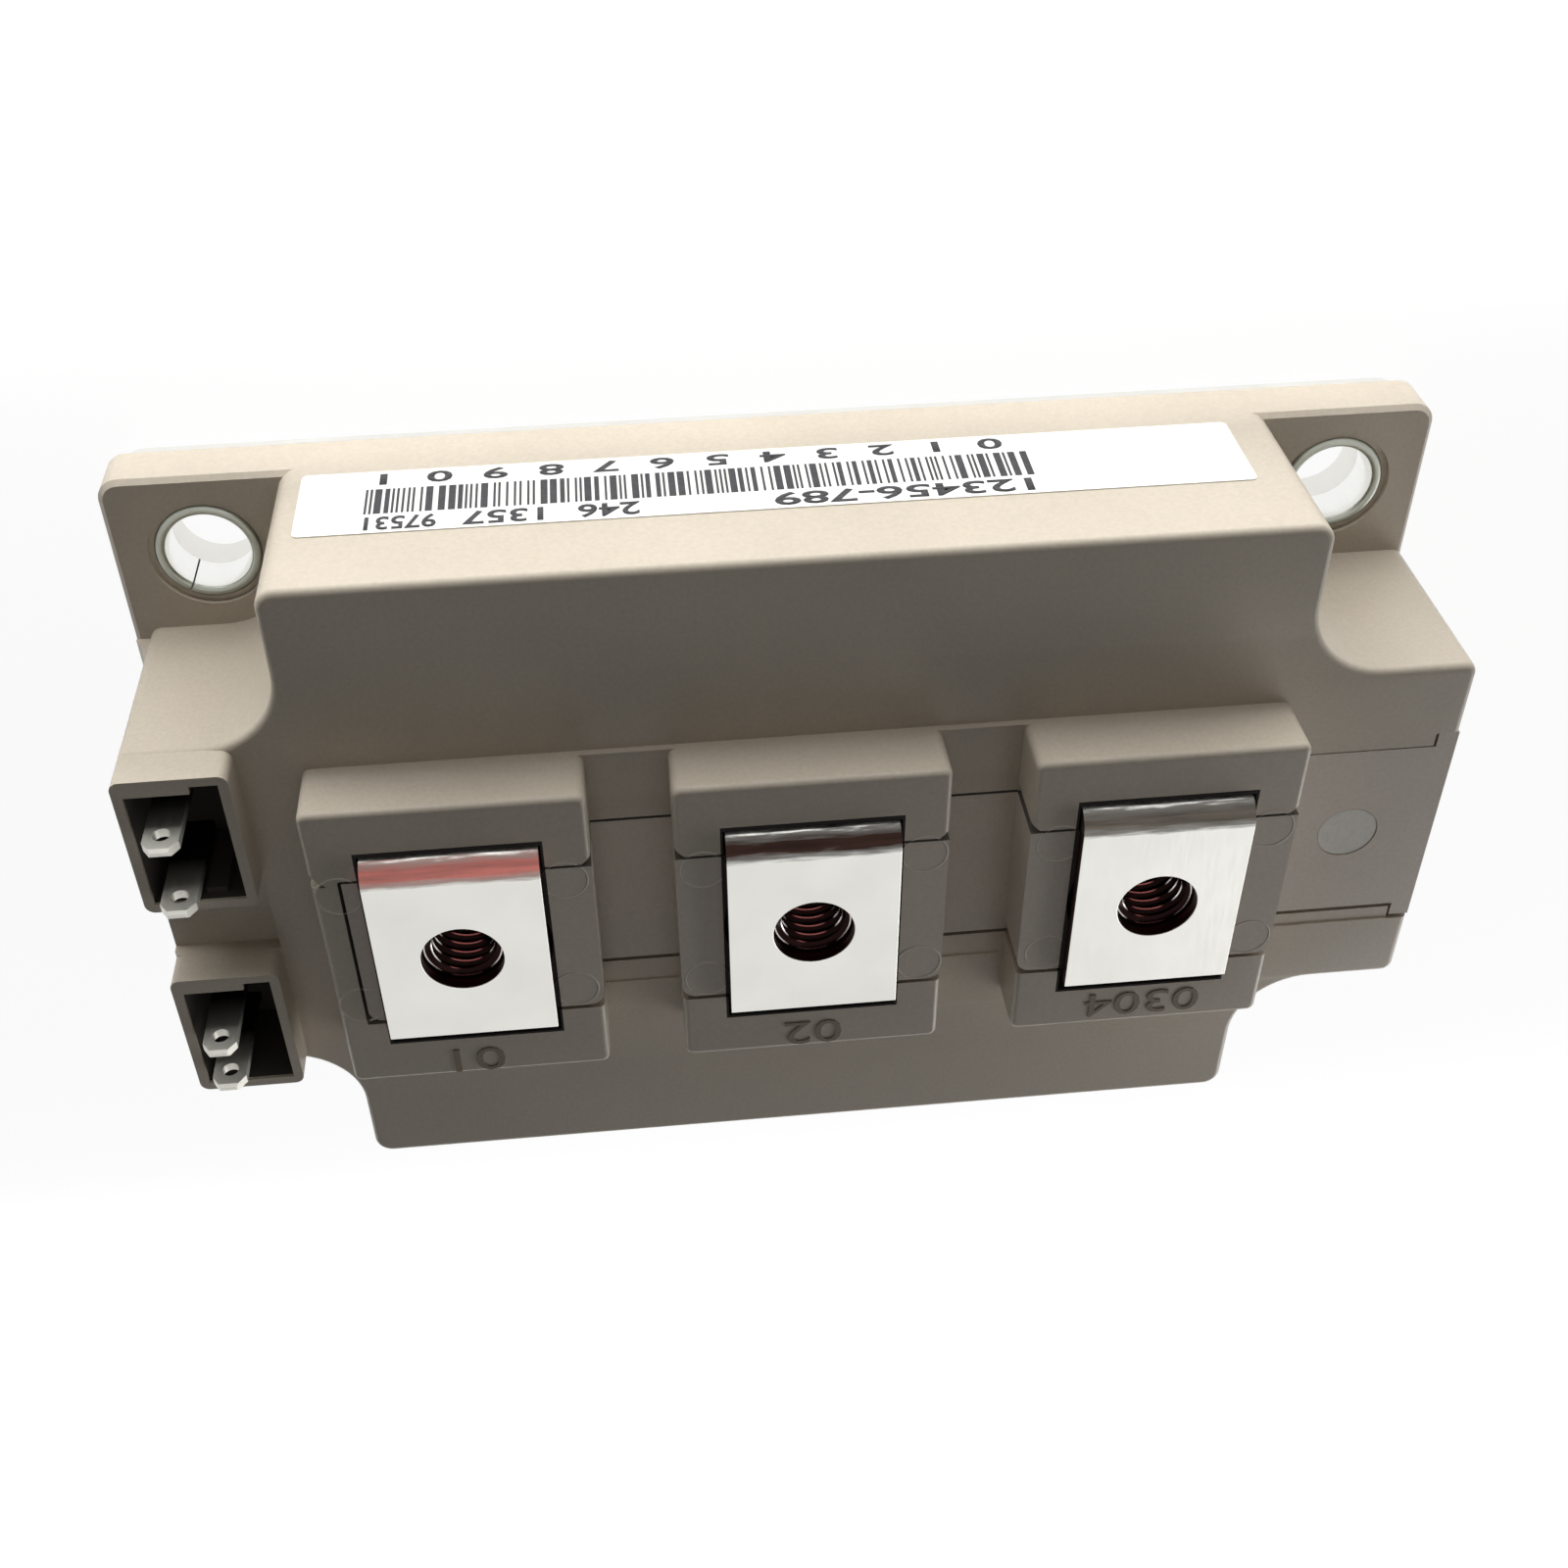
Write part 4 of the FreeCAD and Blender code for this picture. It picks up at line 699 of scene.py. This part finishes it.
bm = bmesh.new()
bmesh.ops.create_grid(bm, x_segments=24, y_segments=4, size=0.5)
bmesh.ops.scale(bm, verts=bm.verts, vec=(label_high.x - label_low.x, label_high.z - label_low.z, 1))
corner_verts = [v for v in bm.verts if len(v.link_edges) == 2]
bmesh.ops.bevel(bm, geom=corner_verts, offset=PAPER_CORNER, offset_type="OFFSET", segments=5, profile=0.5,
                affect="VERTICES", material=-1)
raised_from(bm, PAPER_THICKNESS)
bmesh.ops.rotate(bm, verts=bm.verts, cent=(0, 0, 0), matrix=Matrix.Rotation(math.pi / 2, 3, "X"))
bmesh.ops.translate(bm, verts=bm.verts, vec=(label_middle.x, label_high.y, label_middle.z))
strip = settle(bm, "label_paper_strip", "label_paper", paper)
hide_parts("label")
dress("label", paper)

# The printer's dots leave the black a little uneven, in patches of about 0.4 mm.
ink, tree, shader = start_material("black_thermal_ink_matt", Roughness=0.55)
place = add_node(tree, "ShaderNodeTexCoord").outputs["Object"]
patchy = add_node(tree, "ShaderNodeTexNoise", values={"Scale": per_mm(0.4), "Detail": 2.0},
                  links={"Vector": place})
tone = add_node(tree, "ShaderNodeMix", data_type="RGBA",
                values={6: linear("#1E1D22"), 7: linear("#46444A")}, links={0: patchy.outputs["Fac"]})
feed(tree, shader, "Base Color", tone.outputs[2])

BARS_LEFT = -19.0
BARS_RIGHT = 32.4
BARS_BOTTOM = 10.7
BARS_TOP = 14.3
BAR_WIDTHS = (0.18, 0.18, 0.36, 0.54)
BAR_GAPS = (0.18, 0.24, 0.42)
ink_face = label_high.y - PAPER_THICKNESS
draw = random.Random(11)
bm = bmesh.new()
x = BARS_LEFT
while x < BARS_RIGHT:
    width = draw.choice(BAR_WIDTHS)
    bar = bmesh.ops.create_cube(bm, size=1.0)["verts"]
    bmesh.ops.scale(bm, verts=bar, vec=(width, INK_THICKNESS, BARS_TOP - BARS_BOTTOM))
    bmesh.ops.translate(bm, verts=bar,
                        vec=(x + width / 2, ink_face - INK_THICKNESS / 2, (BARS_TOP + BARS_BOTTOM) / 2))
    x += width + draw.choice(BAR_GAPS)
settle(bm, "label_bars", "label_paper", ink)

# Plain digits above and below the bars: what they say, their middle in X and Z, their height and width.
UPPER_HEIGHT = 1.9
LOWER_HEIGHT = 1.7
PRINTED = (("123456-789", -8.6, 15.7, UPPER_HEIGHT, 20.0), ("246", 14.0, 15.7, UPPER_HEIGHT, 4.7),
           ("1357", 22.0, 15.7, UPPER_HEIGHT, 6.1), ("97531", 29.7, 15.7, UPPER_HEIGHT, 5.4),
           ("0  1  2  3  4  5  6  7  8  9  0  1", 7.1, 9.2, LOWER_HEIGHT, 49.0))
for number, (words, x, z, height, width) in enumerate(PRINTED, start=1):
    raised_text(words, f"label_digits_{number}", height, width, (x, ink_face, z), (1, 0, 0), (0, 0, 1),
                INK_THICKNESS, ink, "label_paper", bolder=0.02)


# Parts sealed inside
# Ceramic tiles with copper tracks, silicon chips, aluminium bond wires and a link strap lie under soft gel.
# They are seen only when the case is taken off.


def plain_inner(name, colour, tint, grain_mm, **values):
    """Surface of a sealed part: two close tones and a light grain."""
    material, tree, shader = start_material(name, **values)
    place = add_node(tree, "ShaderNodeTexCoord").outputs["Object"]
    grain = add_node(tree, "ShaderNodeTexNoise", values={"Scale": per_mm(grain_mm), "Detail": 2.0},
                     links={"Vector": place})
    tone = add_node(tree, "ShaderNodeMix", data_type="RGBA",
                    values={6: linear(colour), 7: linear(tint)}, links={0: grain.outputs["Fac"]})
    feed(tree, shader, "Base Color", tone.outputs[2])
    relief = add_node(tree, "ShaderNodeBump", values={"Strength": 0.15, "Distance": 0.01 * MM},
                      links={"Height": grain.outputs["Fac"]})
    feed(tree, shader, "Normal", relief.outputs[0])
    return material


alumina = plain_inner("alumina_ceramic_fired_matt", "#EFEDE6", "#E2DFD6", 0.4, Roughness=0.55)
bonded_copper = plain_inner("direct_bonded_copper_etched_matt", "#C98B6B", "#B4765A", 0.5,
                            Metallic=1.0, Roughness=0.4)
silicon = plain_inner("silicon_metallised_polished", "#8D8E93", "#77797F", 1.2, Metallic=0.8, Roughness=0.2)
wire_aluminium = plain_inner("aluminium_wire_drawn_bright", "#DCDCDD", "#CBCBCD", 0.3,
                             Metallic=1.0, Roughness=0.25)
gel = plain_inner("silicone_gel_clear_soft", "#F0EEE6", "#E6E3D8", 3.0, Roughness=0.08, IOR=1.41,
                  Transmission_Weight=0.9)
inner_finish = {
    "ceramic_tile": alumina,
    "lower_copper": bonded_copper,
    "emitter_track": bonded_copper,
    "collector_track": bonded_copper,
    "gate_track": bonded_copper,
    "sense_track": bonded_copper,
    "link_strap": bonded_copper,
    "transistor_chip": silicon,
    "diode_chip": silicon,
    "bond_wires": wire_aluminium,
    "silicone_gel": gel,
}
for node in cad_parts:
    for start, finish in inner_finish.items():
        if node.startswith(start):
            dress(node, finish)
